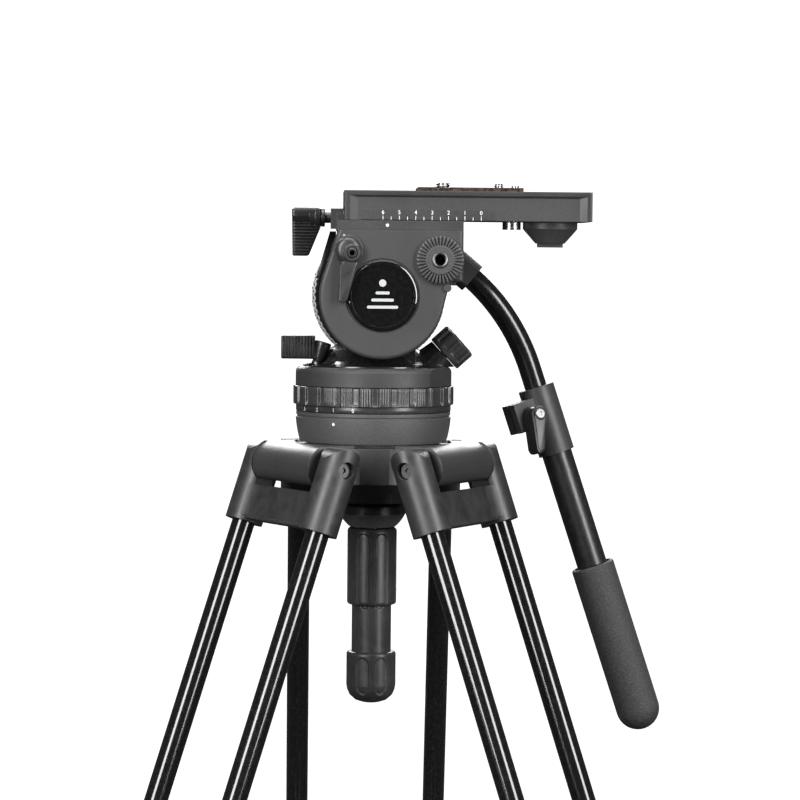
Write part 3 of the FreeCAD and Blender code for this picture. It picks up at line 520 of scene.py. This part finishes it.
def grip_relief(t0, t1, depth):
    """Long sunk panels with round ends between raised ribs."""
    pitch = 2 * math.pi / GRIP_PANELS

    def relief(angle, t, r):
        across = abs((angle % pitch) - pitch / 2) * r
        half = pitch * r / 2 - GRIP_RIB
        end = min(t - t0, t1 - t)
        if end <= 0:
            return 0.0
        round_end = half - math.sqrt(max(0.0, half * half - max(0.0, half - end) ** 2))
        limit = half - round_end
        return -depth * smooth(0.0, 0.7, limit - across)

    return relief


KNOB_R = size_mm("clamp_knob").x / 2
KNOB_LONG = size_mm("clamp_knob").z
knob_profile = [(0, 5.2), (0, KNOB_R - 1.6), (0.6, KNOB_R - 0.5), (1.8, KNOB_R),
                (46.4, KNOB_R), (47.6, KNOB_R - 0.5), (48.2, KNOB_R - 1.8),
                (48.6, KNOB_R - 3.1), (KNOB_LONG, KNOB_R - 3.1), (KNOB_LONG, 5.2)]
knob = lathe("clamp_knob_grip", knob_profile, on_pan_axis(high("clamp_knob").z), -UP,
             relief=grip_relief(3.0, 50.0, 0.9), segments=256, step=0.6)
knob = make("clamp_knob_grip", knob, "plastic", "bowl_knob")
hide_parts("clamp_knob")

cap_profile = [(0, 6.0), (0, 13.9), (0.5, 14.9), (1.5, 15.4), (21.0, 15.4), (24.0, 14.9),
               (27.5, 13.3), (30.6, 9.8), (32.0, 5.5), (32.4, 0)]
cap = lathe("clamp_knob_end", cap_profile, on_pan_axis(high("clamp_knob_cap").z), -UP,
            relief=grip_relief(3.0, 26.0, 0.7), segments=256, step=0.6)
cap = make("clamp_knob_end", cap, "plastic", "bowl_knob")
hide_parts("clamp_knob_cap")


# -------------------------------------------------------------- pan drag ring
DRAG_RIBS = 26
LINES_PER_RIB = 8
BAND_TOP = 4.2
DRAG_GROOVE = 1.5


def drag_relief(angle, t, r):
    """Wide ribs, each finely lined, above a plain scale band."""
    if r < 40 or t < BAND_TOP:
        return 0.0
    pitch = 2 * math.pi / DRAG_RIBS
    place = ((angle / pitch) % 1.0) - 0.5
    groove = smooth(0.22, 0.13, abs(place)) * smooth(BAND_TOP, 5.0, t)
    lines = 0.10 * math.cos(angle * DRAG_RIBS * LINES_PER_RIB) * (1 - groove)
    return -DRAG_GROOVE * groove + lines * smooth(4.4, 5.0, t)


ring_profile = [(0, 30.2), (0, 47.8), (0.4, 48.2), (3.8, 48.2), (4.3, 49.8), (15.0, 49.8),
                (15.6, 49.2), (15.6, 30.2), (0, 30.2)]
drag = lathe("pan_drag_ring_ribbed", ring_profile, on_pan_axis(low("pan_drag_ring").z), UP,
             relief=drag_relief, segments=DRAG_RIBS * 40, step=1.5)
drag = make("pan_drag_ring_ribbed", drag, "ring", "pan_drag", sharp=50)
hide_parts("pan_drag_ring")


# -------------------------------------------------------- counterbalance knob
KNOB_PADS = 12
KNOB_GROOVE = 1.5


def knob_relief(angle, t, r):
    """Raised pads between wide grooves that stop short of the inner end."""
    pitch = 2 * math.pi / KNOB_PADS
    place = abs(((angle / pitch) % 1.0) - 0.5)
    groove = smooth(0.31, 0.23, place) * smooth(2.8, 3.6, t)
    return -KNOB_GROOVE * groove if r > 8 else 0.0


balance_profile = [(-7.2, 0), (-7.2, 3.0), (0, 3.0), (0, 11.6), (0.6, 12.25), (2.8, 12.25),
                   (12.3, 12.25), (13.2, 11.4), (13.5, 9.6), (13.1, 8.8), (13.1, 0)]
balance = lathe("counterbalance_grip", balance_profile, pivot("counterbalance_turn"),
                axis_of("counterbalance_turn"), toward=ALONG_Y, relief=knob_relief,
                segments=KNOB_PADS * 28, step=0.6)
balance = make("counterbalance_grip", balance, "plastic", "counterbalance")
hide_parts("counterbalance_knob")


# ------------------------------------------------------------- tilt drag ring
NOTCHES = 90
WAVES = 30
CONE_START, CONE_END, CONE_LONG = 39.9, 42.3, 7.0
RIBBON_HALF, RIBBON_PROUD, RIBBON_SUNK = 0.9, 0.16, -0.4


def rim_relief(angle, t, r):
    """Fine notches round the widest part of the rim."""
    return -0.25 * (1 + math.cos(NOTCHES * angle)) * smooth(6.0, 7.5, t) if r > 41 else 0.0


rim_profile = [(0, 20.1), (0, CONE_START), (CONE_LONG, CONE_END), (13.4, 42.4), (14.2, 41.4),
               (14.2, 0), (6.6, 0), (6.6, 20.1), (0, 20.1)]
rim_start = pivot("tilt_turn")
rim_start.y = low("tilt_drag_ring").y
rim = lathe("tilt_drag_rim", rim_profile, rim_start, ALONG_Y, relief=rim_relief,
            segments=WAVES * 24, step=0.55)
rim = make("tilt_drag_rim", rim, "ring", "tilt_drag", sharp=50)
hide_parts("tilt_drag_ring")


def rim_ribbon(phase):
    """Flat band waving round the cone of the tilt drag ring."""
    bm = bmesh.new()
    count = WAVES * 16
    corners = ((-RIBBON_HALF, RIBBON_SUNK), (-RIBBON_HALF, RIBBON_PROUD),
               (RIBBON_HALF, RIBBON_PROUD), (RIBBON_HALF, RIBBON_SUNK))
    loops = []
    for i in range(count):
        a = 2 * math.pi * i / count
        middle_t = CONE_LONG / 2 + 2.3 * math.sin(WAVES * a + phase)
        loop = []
        for dt, proud in corners:
            t = middle_t + dt
            r = CONE_START + (CONE_END - CONE_START) * t / CONE_LONG + proud
            loop.append(bm.verts.new(shifted(rim_start, r * math.cos(a), t, r * math.sin(a))))
        loops.append(loop)
    for i in range(count):
        here, there = loops[i], loops[(i + 1) % count]
        for k in range(4):
            m = (k + 1) % 4
            bm.faces.new((here[k], here[m], there[m], there[k]))
    return mesh_from(bm, "ribbon")


# The ribbons are real raised bands; their pale colour is painted highlight for light caught on
# the raised lines.
ribbons = joined("rim_ribbons", [rim_ribbon(0.0), rim_ribbon(math.pi)])
make("rim_ribbons", ribbons, "ribbon_highlight_paint", "tilt_drag", sharp=50)


# -------------------------------------------------------------- camera screws
def thread(pitch, depth, t0, t1):
    """Winding groove between two distances along the shank."""
    def relief(angle, t, r):
        if not t0 < t < t1:
            return 0.0
        phase = ((t / pitch) - angle / (2 * math.pi)) % 1.0
        return -depth * (1 - abs(phase - 0.5) * 2)
    return relief


def screw(name, node, body, radius, head, pitch):
    """Captive screw: wide head under the plate, thin shank, thread above the pad."""
    centre = middle(node)
    length = size_mm(node).z
    thread_start = (high("plate_pad").z - low(node).z) / MM + 0.2
    profile = [(0, 0), (0, head), (3.1, head), (3.1, radius - 0.5),
               (thread_start, radius - 0.5), (thread_start + 0.3, radius),
               (length - 0.7, radius), (length, radius - 0.7), (length, 0)]
    mesh = lathe(name, profile, Vector((centre.x, centre.y, low(node).z)), UP,
                 relief=thread(pitch, pitch * 0.5, thread_start, length + 1),
                 segments=72, step=0.12)
    obj = make(name, mesh, "steel", body, sharp=60)
    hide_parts(node)


screw("thread_3_8", "camera_screw_3_8", "screw_3_8", 4.7, 8.9, 1.5875)
screw("thread_1_4", "camera_screw_1_4", "screw_1_4", 3.15, 4.5, 1.27)


# ------------------------------------------------------------ tilt lock lever
def teardrop(cx, cz, r, tx, tz, tr):
    """Outline of two circles of different size joined by their tangents."""
    dx, dz = tx - cx, tz - cz
    distance = math.hypot(dx, dz)
    bearing = math.degrees(math.atan2(dz, dx))
    spread = math.degrees(math.acos((r - tr) / distance))
    big = arc(cx, cz, r, bearing + spread, bearing + 360 - spread, 28)
    small = arc(tx, tz, tr, bearing - spread, bearing + spread, 14)
    return big + small


boss_centre = shifted(pivot("tilt_lock_turn"), y=-0.3)
blade_outline = [(-6.9, -5.0), (-6.8, -8.0), (-8.6, -27.6), (-8.2, -29.2), (-6.9, -30.0),
                 (-4.4, -30.0), (-3.2, -29.4), (-2.7, -28.0), (3.3, -8.0), (3.6, -5.0)]
blade = slab("blade", blade_outline, -6.4, -0.9, facing_front(boss_centre), 1.3, 2)
boss_middle = shifted(boss_centre, x=-2.1, z=1.8)
boss = lathe("boss", [(0.0, 0), (0, 9.1), (1.6, 9.1), (2.0, 8.7), (2.0, 8.1), (3.4, 8.0),
                      (5.0, 7.4), (6.1, 6.3), (6.6, 4.8), (6.6, 0)], boss_middle, -ALONG_Y,
             segments=96)
collar = lathe("collar", [(0, 0), (0, 5.2), (7.0, 5.2), (7.5, 4.7), (7.5, 3.4), (6.2, 3.3),
                          (6.2, 0)], boss_centre, -ALONG_Y, segments=72)
stem = lathe("stem", [(0, 0), (0, 3.0), (10.5, 3.0), (10.5, 0)], boss_centre, ALONG_Y,
             segments=48)
lever = make("tilt_lock_handle", joined("tilt_lock_handle", [blade, boss, collar, stem]),
             "plastic", "tilt_lock", sharp=32)
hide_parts("tilt_lock_lever")


SCREW_R, SCREW_TALL, SOCKET_R, SOCKET_DEEP = 3.1, 2.0, 1.5, 1.6
screw_profile = [(0, 0), (0, SCREW_R), (SCREW_TALL - 0.4, SCREW_R),
                 (SCREW_TALL, SCREW_R - 0.4), (SCREW_TALL, SOCKET_R * 1.08),
                 (SCREW_TALL - SOCKET_DEEP, SOCKET_R), (SCREW_TALL - SOCKET_DEEP, 0)]
lock_screw = lathe("tilt_lock_screw", screw_profile, shifted(boss_centre, y=-6.2), -ALONG_Y,
                   toward=(0.3, 0.2, 1), segments=48)
make("tilt_lock_screw", lock_screw, "dark_steel", "tilt_lock", sharp=30)


# ----------------------------------------------------------- plate lock lever
RIB_PITCH = 1.9


def groove_at(along):
    """Depth from 0 to 1 of the grooves between a paddle's ribs, by the distance along it."""
    wave = 0.5 + 0.5 * math.cos(2 * math.pi * along / RIB_PITCH)
    return smooth(0.25, 0.75, wave)


def plate_lever_sections():
    """Tapered paddle hanging from a hub along X, with level ribs lower down."""
    sections = []
    count = 150
    top, drop = 6.1, 30.1
    ribs_from, top_round, foot_round = -2.5, 5.1, -23.2
    left_end = (low("plate_lock_lever").x - lever_pivot.x) / MM
    for i in range(count + 1):
        k = i / count
        z = top - drop * k
        left = left_end + 0.5 * k
        right = -3.8 if z > -6.4 else -3.8 + (z + 6.4) / 17.6 * 7.2
        half_x = (right - left) / 2
        half_y = 4.2 if z < -3 else 4.2 + 1.6 * smooth(-3, 1, z) * smooth(7.5, 3, z)
        if z < ribs_from:
            half_y -= 0.8 * groove_at(ribs_from - z) * smooth(-24.0, -23.0, z)
        if z > top_round:
            half_y -= (z - top_round) * 1.2
            half_x -= (z - top_round) * 0.7
        if z < foot_round:
            half_y -= (foot_round - z) * 0.9
            half_x -= (foot_round - z) * 0.9
        centre = (left + right) / 2
        sections.append([shifted(lever_pivot, centre + a, b, z)
                         for a, b in rounded_box_loop(half_x, half_y, 1.6)])
    return sections


lever_pivot = pivot("plate_lock_turn")
paddle = loft("paddle", plate_lever_sections())
hub = lathe("hub", [(0, 0), (0, 6.2), (3.4, 6.2), (3.8, 6.6), (6.4, 6.6), (7.0, 6.0), (7.0, 0)],
            shifted(lever_pivot, x=-10.6), ALONG_X, segments=72)
lever = make("plate_lock_paddle", joined("plate_lock_paddle", [paddle, hub]), "lever",
             "plate_lock", sharp=40)
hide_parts("plate_lock_lever")
shaft = lathe("plate_lock_shaft", [(0, 0), (0, 5.3), (0.4, 5.8), (2.2, 5.8), (2.6, 5.3),
                                   (2.6, 3.5), (21.7, 3.5), (21.7, 0)],
              shifted(lever_pivot, x=-3.6), ALONG_X, segments=64)
make("plate_lock_shaft", shaft, "dark_steel", "plate_lock")


# ------------------------------------------------------------- pan lock lever
HUB_RISE = 14.2


def pan_lever_sections():
    """Upright paddle running left from its hub, with vertical ribs."""
    sections = []
    count = 130
    reach = (base.x - low("pan_lock_lever").x) / MM
    ribs_from, end_round = -2.1, 0.6 - reach
    for i in range(count + 1):
        k = i / count
        x = -0.1 - (reach - 0.1) * k
        half_y, half_z = 4.0, 7.3 - 0.1 * k
        if x < ribs_from:
            half_y -= 0.9 * groove_at(ribs_from - x) * smooth(0.2, 0.8, x + reach)
        if x < end_round:
            half_y -= (end_round - x) * 1.2
            half_z -= (end_round - x) * 1.2
        sections.append([shifted(base, x, a, HUB_RISE + b)
                         for a, b in rounded_box_loop(half_y, half_z, 1.2)])
    return sections


base = pivot("pan_lock_turn")
lock_axis = axis_of("pan_lock_turn")
paddle = loft("paddle", pan_lever_sections())
bell = lathe("bell", [(5.2, 0), (5.2, 3.0), (6.0, 3.5), (9.0, 3.9), (13.0, 4.6), (16.0, 5.1),
                      (17.6, 5.1), (18.2, 4.5), (18.2, 0)], base, lock_axis, segments=64)
lever = make("pan_lock_paddle", joined("pan_lock_paddle", [paddle, bell]), "lever", "pan_lock",
             sharp=40)
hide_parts("pan_lock_lever")
stud = lathe("pan_lock_stud", [(0.4, 0), (0.4, 2.5), (3.4, 2.5), (3.4, 3.6), (5.2, 3.6),
                               (5.2, 0)], base, lock_axis, segments=48)
make("pan_lock_stud", stud, "dark_steel", "pan_lock")


# --------------------------------------------------------------- collar lever
LEVER_LEAN = math.radians(17)
bar_dir = axis_of("pan_bar_extend")
lever_dir = axis_of("bar_lever_turn")
ear_dir = bar_dir.cross(lever_dir)
lever_centre = pivot("bar_lever_turn")


def on_collar(a, b, c):
    """a across the lever's blade, b along it from the pivot, c out along the pivot."""
    across = ear_dir * math.cos(LEVER_LEAN) - bar_dir * math.sin(LEVER_LEAN)
    down = bar_dir * math.cos(LEVER_LEAN) + ear_dir * math.sin(LEVER_LEAN)
    return lever_centre + across * (a * MM) + down * (b * MM) + lever_dir * (c * MM)


outline = teardrop(0, 0, 5.7, 0.5, 22.6, 2.9)
waist = [(a * (1 - 0.30 * smooth(3, 10, b) * smooth(21, 16, b)), b) for a, b in outline]
lever_body = slab("lever_body", waist, 7.9, 18.6, on_collar, 0.7, 3)
inset = [(0.3 + (a - 0.3) * 0.70, b * 0.93) for a, b in waist]
lever_face = slab("collar_lever_face", inset, 18.4, 19.1, on_collar, 0.3, 2)
stem = lathe("stem", [(-2.5, 0), (-2.5, 2.5), (8.2, 2.5), (8.2, 0)],
             lever_centre, lever_dir, segments=48)
lever = make("collar_lever_blade", joined("collar_lever_blade", [lever_body, stem]),
             "lever", "bar_lever", sharp=30)
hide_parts("collar_lever")
make("collar_lever_face", lever_face, "lever_face", "bar_lever", sharp=30)
head = lathe("collar_lever_screw", [(18.6, 0), (18.6, 3.2), (19.5, 3.2), (19.9, 2.8),
                                    (19.9, 1.3), (19.2, 1.1), (19.2, 0)],
             lever_centre, lever_dir, segments=48)
make("collar_lever_screw", head, "bright_steel", "bar_lever")
ring = lathe("collar_lever_ring", [(18.5, 3.3), (18.5, 4.2), (19.35, 4.2), (19.35, 3.3),
                                   (18.5, 3.3)], lever_centre, lever_dir, segments=48)
make("collar_lever_ring", ring, "lever", "bar_lever")


# ---------------------------------------------------------- mouth of the grip
bar_middle = middle("pan_bar_outer")
GRIP_R = size_mm("pan_bar_grip").y / 2
mouth_height = high("pan_bar_grip").z - GRIP_R * MM * math.hypot(bar_dir.x, bar_dir.y)
mouth = bar_middle + bar_dir * ((mouth_height - bar_middle.z) / bar_dir.z)
lip = lathe("grip_lip", [(0.3, GRIP_R - 2.4), (-1.1, GRIP_R - 2.2), (-1.5, GRIP_R - 1.5),
                         (-1.2, GRIP_R - 0.6), (-0.4, GRIP_R - 0.05), (0.3, GRIP_R - 0.05),
                         (0.3, GRIP_R - 2.4)], mouth, bar_dir, segments=96)
make("grip_lip", lip, "rubber", "bar_extension")
# Painted shade: a thin dark ring laid across the gap between the tube and the grip's lip, where
# the hollow at the mouth falls in shade.
mouth_shade = lathe("grip_mouth_shade", [(0.2, 9.9), (-0.25, 9.9), (-0.25, GRIP_R - 2.3),
                           (0.2, GRIP_R - 2.3), (0.2, 9.9)], mouth, bar_dir, segments=96)
make("grip_mouth_shade", mouth_shade, "tube", "bar_extension")


# ---------------------------------------------- shoulder of the far side plate
shoulder_top = shifted(low("plate_clamp"), z=-0.3)
shoulder_top.y = low("tilt_side_plate").y
shoulder_outline = [(-0.2, 0), (3.6, 0), (3.6, -8.0), (0.8, -24.0), (-7.0, -30.0), (-8.6, -29.4)]
shoulder = slab("side_shoulder", shoulder_outline, 0.2, size_mm("tilt_side_plate").y * 0.6,
                facing_front(shoulder_top), 0.5, 2)
make("side_shoulder", shoulder, "lacquer", "tilt_head")


# --------------------------------------------------- rosette insert and badge
ROSETTE_EDGE = size_mm("rosettes").z / 2
TEETH = 36
STEPS_PER_TOOTH = 12
TOOTH_DEPTH = 1.6
rosette_face, back_face = pivot("pan_bar_swing"), pivot("pan_bar_swing")
rosette_face.y, back_face.y = low("rosettes").y, high("rosettes").y
insert = lathe("rosette_insert", [(0, 3.3), (0, 4.9), (0.7, 4.7), (0.9, 4.2), (0.6, 3.3),
                                  (-6.0, 3.3)], rosette_face, -ALONG_Y, segments=72)
make("rosette_insert", insert, "dark_steel", "tilt_head")


def toothed_disc(name, centre, direction):
    """Disc with radial teeth on its outer face and a plain hub in the middle."""
    count = TEETH * STEPS_PER_TOOTH
    hole, hub_edge, rim = 3.3, 8.9, ROSETTE_EDGE
    rows = [(hole, -4.0, 0), (hole, 0.0, 0), (hub_edge - 0.4, 0.0, 0), (hub_edge, -0.35, 0.3),
            (hub_edge + 0.5, -0.25, 1), (rim - 1.4, -0.15, 1), (rim - 0.5, -0.45, 1),
            (rim, -1.0, 0.8), (rim, -3.6, 0)]
    bm = bmesh.new()
    rings = []
    for radius, depth, cut in rows:
        ring = []
        for i in range(count):
            a = 2 * math.pi * i / count
            place = abs((i / STEPS_PER_TOOTH) % 1.0 - 0.5)
            sink = depth - TOOTH_DEPTH * cut * smooth(0.24, 0.10, place)
            ring.append(bm.verts.new(shifted(centre, math.cos(a) * radius, direction * sink,
                                             math.sin(a) * radius)))
        rings.append(ring)
    rings.append(rings[0])
    for inner, outer in zip(rings, rings[1:]):
        for i in range(count):
            j = (i + 1) % count
            bm.faces.new((inner[i], inner[j], outer[j], outer[i]))
    return mesh_from(bm, name)


discs = joined("rosette_discs", [toothed_disc("near", rosette_face, -1),
                                 toothed_disc("back", back_face, 1)])
discs = make("rosette_discs", discs, "rosette", "tilt_head", sharp=35)
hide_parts("rosettes")

badge_face = middle("badge_disc")
badge_face.y = low("badge_disc").y
BADGE_EDGE = size_mm("badge_disc").x / 2
badge_ring = lathe("badge_ring", [(-0.3, BADGE_EDGE - 2.6), (0.10, BADGE_EDGE - 2.6),
                                  (0.16, BADGE_EDGE - 2.1), (0.12, BADGE_EDGE - 1.6),
                                  (-0.05, BADGE_EDGE - 0.9), (-0.35, BADGE_EDGE - 0.3),
                                  (-0.6, BADGE_EDGE + 0.05), (-0.6, BADGE_EDGE - 2.6),
                                  (-0.3, BADGE_EDGE - 2.6)],
                   shifted(badge_face, y=-0.5), -ALONG_Y, segments=160)
make("badge_ring", badge_ring, "badge", "tilt_head")


def badge_shape(name, outline):
    """Thin printed shape on the badge."""
    mesh = slab(name, outline, -0.16, 0.0, facing_front(badge_face), 0.04, 1)
    make(name, mesh, "silver_print", "tilt_head")


for number, (bottom, top) in enumerate(((-7.5, -5.7), (-3.2, -1.4), (1.1, 2.9))):
    width = 9.5 - 2.6 * number
    bar_outline = [(a, (bottom + top) / 2 + b) for a, b in rounded_box_loop(width, 0.9, 0.9)]
    badge_shape(f"badge_bar_{number}", bar_outline)
badge_shape("badge_dot", arc(0, 8.0, 2.2, 0, 355, 40))


# -------------------------------------------------------- scales and markings
DIGIT_PROUD = 0.06
PLATE_DIGIT, DRAG_DIGIT = 3.4, 3.2
SCALE_TOP = 6
SCALE_STEP = 10.0
SCALE_START = 23.6
TICK_HALF, TICK_FOOT = 0.16, 0.3
LONG_TICK, SHORT_TICK = 2.4, 1.9
INDEX_BEARING = -121.6
DRAG_BEARINGS = (-106.1, INDEX_BEARING, -136.9, -152.3)


def digit(name, text, size, matrix, body):
    """Raised digit as a mesh, its size in millimetres."""
    curve = bpy.data.curves.new(name, "FONT")
    curve.body = text
    curve.size = size * MM
    curve.extrude = DIGIT_PROUD * MM
    curve.align_x = "CENTER"
    temporary = bpy.data.objects.new(name, curve)
    bpy.context.scene.collection.objects.link(temporary)
    depsgraph = bpy.context.evaluated_depsgraph_get()
    mesh = bpy.data.meshes.new_from_object(temporary.evaluated_get(depsgraph))
    bpy.data.objects.remove(temporary)
    mesh.transform(matrix)
    make(name, mesh, "white", body)


def upright(centre, outward):
    """Matrix that stands text up at a point, facing outward."""
    normal = Vector(outward).normalized()
    right = UP.cross(normal)
    matrix = Matrix((right, UP, normal)).transposed().to_4x4()
    return Matrix.Translation(centre) @ matrix


plate_corner = shifted(low("camera_plate"), y=1.6)
panel = [(10.5, 0.3), (92.3, 0.3)] + arc(90.3, 4.9, 2.0, 0, 90, 6) + [(10.5, 6.9)]
make("scale_panel", slab("scale_panel", panel, -0.25, 0.2, facing_front(plate_corner), 0.1, 1),
     "coat_fine", "plate")
# Painted shade: dark strips at both ends and along the top of the plate's near side, where the
# sloped ends and top lip of its recess fall in shade.
plate_face = low("camera_plate")
plate_long, plate_tall = size_mm("camera_plate").x, size_mm("camera_plate").z
shade_strips = [(1.3, 3.4, 0.4, plate_tall - 0.6),
              (plate_long - 3.1, plate_long - 1.3, 0.4, plate_tall - 0.6),
              (3.4, plate_long - 3.1, plate_tall - 2.8, plate_tall - 0.6)]
shade_parts = [slab("strip", [(x0, z0), (x1, z0), (x1, z1), (x0, z1)], -0.12, 0.1,
                  facing_front(plate_face), 0) for x0, x1, z0, z1 in shade_strips]
make("plate_rim_shade", joined("plate_rim_shade", shade_parts), "rim_shade_coat", "plate")
ticks = []
for step in range(SCALE_TOP + 1):
    x = SCALE_START + SCALE_STEP * step
    digit(f"scale_{SCALE_TOP - step}", str(SCALE_TOP - step), PLATE_DIGIT,
          upright(shifted(plate_corner, x, -0.3, 3.7), -ALONG_Y), "plate")
    ticks.append((x, LONG_TICK))
    if step < SCALE_TOP:
        ticks.append((x + SCALE_STEP / 2, SHORT_TICK))
marks = [slab("tick", [(x - TICK_HALF, TICK_FOOT), (x + TICK_HALF, TICK_FOOT),
                       (x + TICK_HALF, TICK_FOOT + h), (x - TICK_HALF, TICK_FOOT + h)],
              -0.36, -0.2, facing_front(plate_corner), 0) for x, h in ticks]
make("scale_ticks", joined("scale_ticks", marks), "white", "plate")

clamp_corner = low("plate_clamp").copy()
clamp_corner.x = high("plate_clamp").x
dot = slab("clamp_dot", arc(-46.5, 3.2, 0.95, 0, 348, 29), -0.1, 0.1,
           facing_front(clamp_corner), 0)
make("clamp_dot", dot, "white", "tilt_head")
mark = slab("lock_mark", [(-5.0, 11.2), (-3.9, 10.6), (-3.5, 9.0), (-5.1, 8.7), (-5.7, 9.8)],
            -0.1, 0.1, facing_front(pivot("tilt_lock_turn")), 0)
make("lock_mark", mark, "white", "tilt_head")


def around_ring(bearing, radius, height, slope=0.0):
    """Outward direction and point at a bearing round the pan axis, the height in metres."""
    a = math.radians(bearing)
    out = Vector((math.cos(a), math.sin(a), slope))
    return out, on_pan_axis(height) + Vector((out.x, out.y, 0)) * (radius * MM)


for number, bearing in enumerate(DRAG_BEARINGS):
    out, spot = around_ring(bearing, 48.26, low("pan_drag_ring").z + 0.7 * MM)
    digit(f"drag_scale_{number}", str(number), DRAG_DIGIT, upright(spot, out), "pan_drag")
out, spot = around_ring(INDEX_BEARING, 47.98, low("base_collar").z + 12.2 * MM, -0.12)
dot = lathe("collar_dot", [(0, 0), (0, 0.95), (0.12, 0.9), (0.12, 0)], spot, out, segments=32)
make("collar_dot", dot, "white", "head_base")


# ----------------------------------------------------- satin faces of the crown
ARM_HALF = 35.02


def machined_face(number, hinge, side):
    """The bare flat face on one side of an arm, beside the leg's ear."""
    radial = hinge - on_pan_axis(hinge.z)
    radial.normalize()
    tangent = UP.cross(radial) * side

    def place(r, z, depth):
        return hinge + radial * (r * MM) + tangent * ((ARM_HALF + depth) * MM) + UP * (z * MM)

    outline = [(-21.9, -10.3), (0, -10.3)] + arc(0, 0, 14.2, -46, 70, 18)
    outline += [(0, 12.9), (-21.9, 11.2)]
    mesh = slab(f"arm_face_{number}", outline, 0.0, 0.16, place, 0.08, 1)
    make(f"arm_face_{number}", mesh, "face", "crown")


for leg in (1, 2, 3):
    for side in (-1, 1):
        machined_face(2 * leg + (side - 1) // 2, pivot(f"leg_{leg}_splay"), side)


# ----------------------------------------------------------------- the studio
WORLD_LIGHT = 0.06


def backdrop():
    """Pale round floor that sweeps up into a wall on every side; metres throughout."""
    floor_r, sweep_r, wall_top = 5.0, 3.0, 9.0
    profile = [(floor_r * k / 6, 0.0) for k in range(1, 7)]
    profile += [(floor_r + sweep_r * math.sin(t), sweep_r * (1 - math.cos(t)))
                for t in (math.pi / 2 * i / 16 for i in range(1, 17))]
    profile += [(floor_r + sweep_r, wall_top)]
    segments = 96
    bm = bmesh.new()
    centre = bm.verts.new((0, 0, 0))
    rings = [[bm.verts.new((r * math.cos(2 * math.pi * i / segments),
                            r * math.sin(2 * math.pi * i / segments), z))
              for i in range(segments)] for r, z in profile]
    for i in range(segments):
        j = (i + 1) % segments
        bm.faces.new((centre, rings[0][i], rings[0][j]))
        for inner, outer in zip(rings, rings[1:]):
            bm.faces.new((inner[i], outer[i], outer[j], inner[j]))
    mesh = mesh_from(bm, "backdrop")
    for polygon in mesh.polygons:
        polygon.use_smooth = True
    obj = bpy.data.objects.new("backdrop", mesh)
    bpy.context.scene.collection.objects.link(obj)
    n = Nodes("paper", (0.86, 0.86, 0.86), roughness=0.9, specular=0.1)
    fibre = n.noise(180.0, 4.0)
    shade = n.ramp(fibre, "Fac", [(0.3, gray(0.84)), (0.7, gray(0.88))])
    n.link(shade, "Color", n.bsdf, "Base Color")
    n.bsdf.inputs["Emission Color"].default_value = (1, 1, 1, 1)
    n.bsdf.inputs["Emission Strength"].default_value = 1.0
    n.relief([(fibre, "Fac", 0.05, 0.0005)])
    obj.data.materials.append(n.mat)
    obj.visible_glossy = False
    obj.visible_diffuse = False


def area_light(name, place, target, size, power):
    """Softbox that faces a target; size in metres, power in watts."""
    data = bpy.data.lights.new(name, "AREA")
    data.shape = "RECTANGLE"
    data.size, data.size_y = size
    data.energy = power
    obj = bpy.data.objects.new(name, data)
    obj.location = place
    obj.rotation_euler = (target - place).to_track_quat("-Z", "Y").to_euler()
    bpy.context.scene.collection.objects.link(obj)


backdrop()
head = on_pan_axis(middle("pan_housing").z)
area_light("key_left", shifted(head, -1560, -2120, 900), head, (0.95, 2.6), 118)
area_light("key_right", shifted(head, 1800, -1900, 850), head, (0.95, 2.6), 105)
area_light("top", shifted(head, 0, -300, 2180), head, (2.0, 1.4), 50)
area_light("back", shifted(head, 0, 2300, 1500), head, (2.4, 1.6), 150)

world = bpy.data.worlds.new("studio")
world.use_nodes = True
background = world.node_tree.nodes["Background"]
background.inputs["Color"].default_value = (1, 1, 1, 1)
background.inputs["Strength"].default_value = WORLD_LIGHT
bpy.context.scene.world = world
bpy.context.scene.view_settings.view_transform = "Standard"

# --------------------------------------------------------------------- camera
DISTANCE = 1.869
SENSOR, LENS = 36.0, 135.0
AZIMUTH, PITCH, ROLL = -1.83, 2.75, 0.54
aim = shifted(on_pan_axis(low("pan_drag_ring").z), x=16.6, z=6.5)
azimuth, pitch, roll = (math.radians(angle) for angle in (AZIMUTH, PITCH, ROLL))
forward = Vector((-math.sin(azimuth) * math.cos(pitch), math.cos(azimuth) * math.cos(pitch),
                  -math.sin(pitch)))
level = Vector((math.cos(azimuth), math.sin(azimuth), 0))
upward = level.cross(forward)
right = level * math.cos(roll) + upward * math.sin(roll)
up = upward * math.cos(roll) - level * math.sin(roll)
camera_data = bpy.data.cameras.new("camera")
camera_data.sensor_width = SENSOR
camera_data.lens = LENS
camera_data.clip_end = 60.0
camera = bpy.data.objects.new("camera", camera_data)
matrix = Matrix((right, up, -forward)).transposed().to_4x4()
camera.matrix_world = Matrix.Translation(aim - forward * DISTANCE) @ matrix
bpy.context.scene.collection.objects.link(camera)
bpy.context.scene.camera = camera
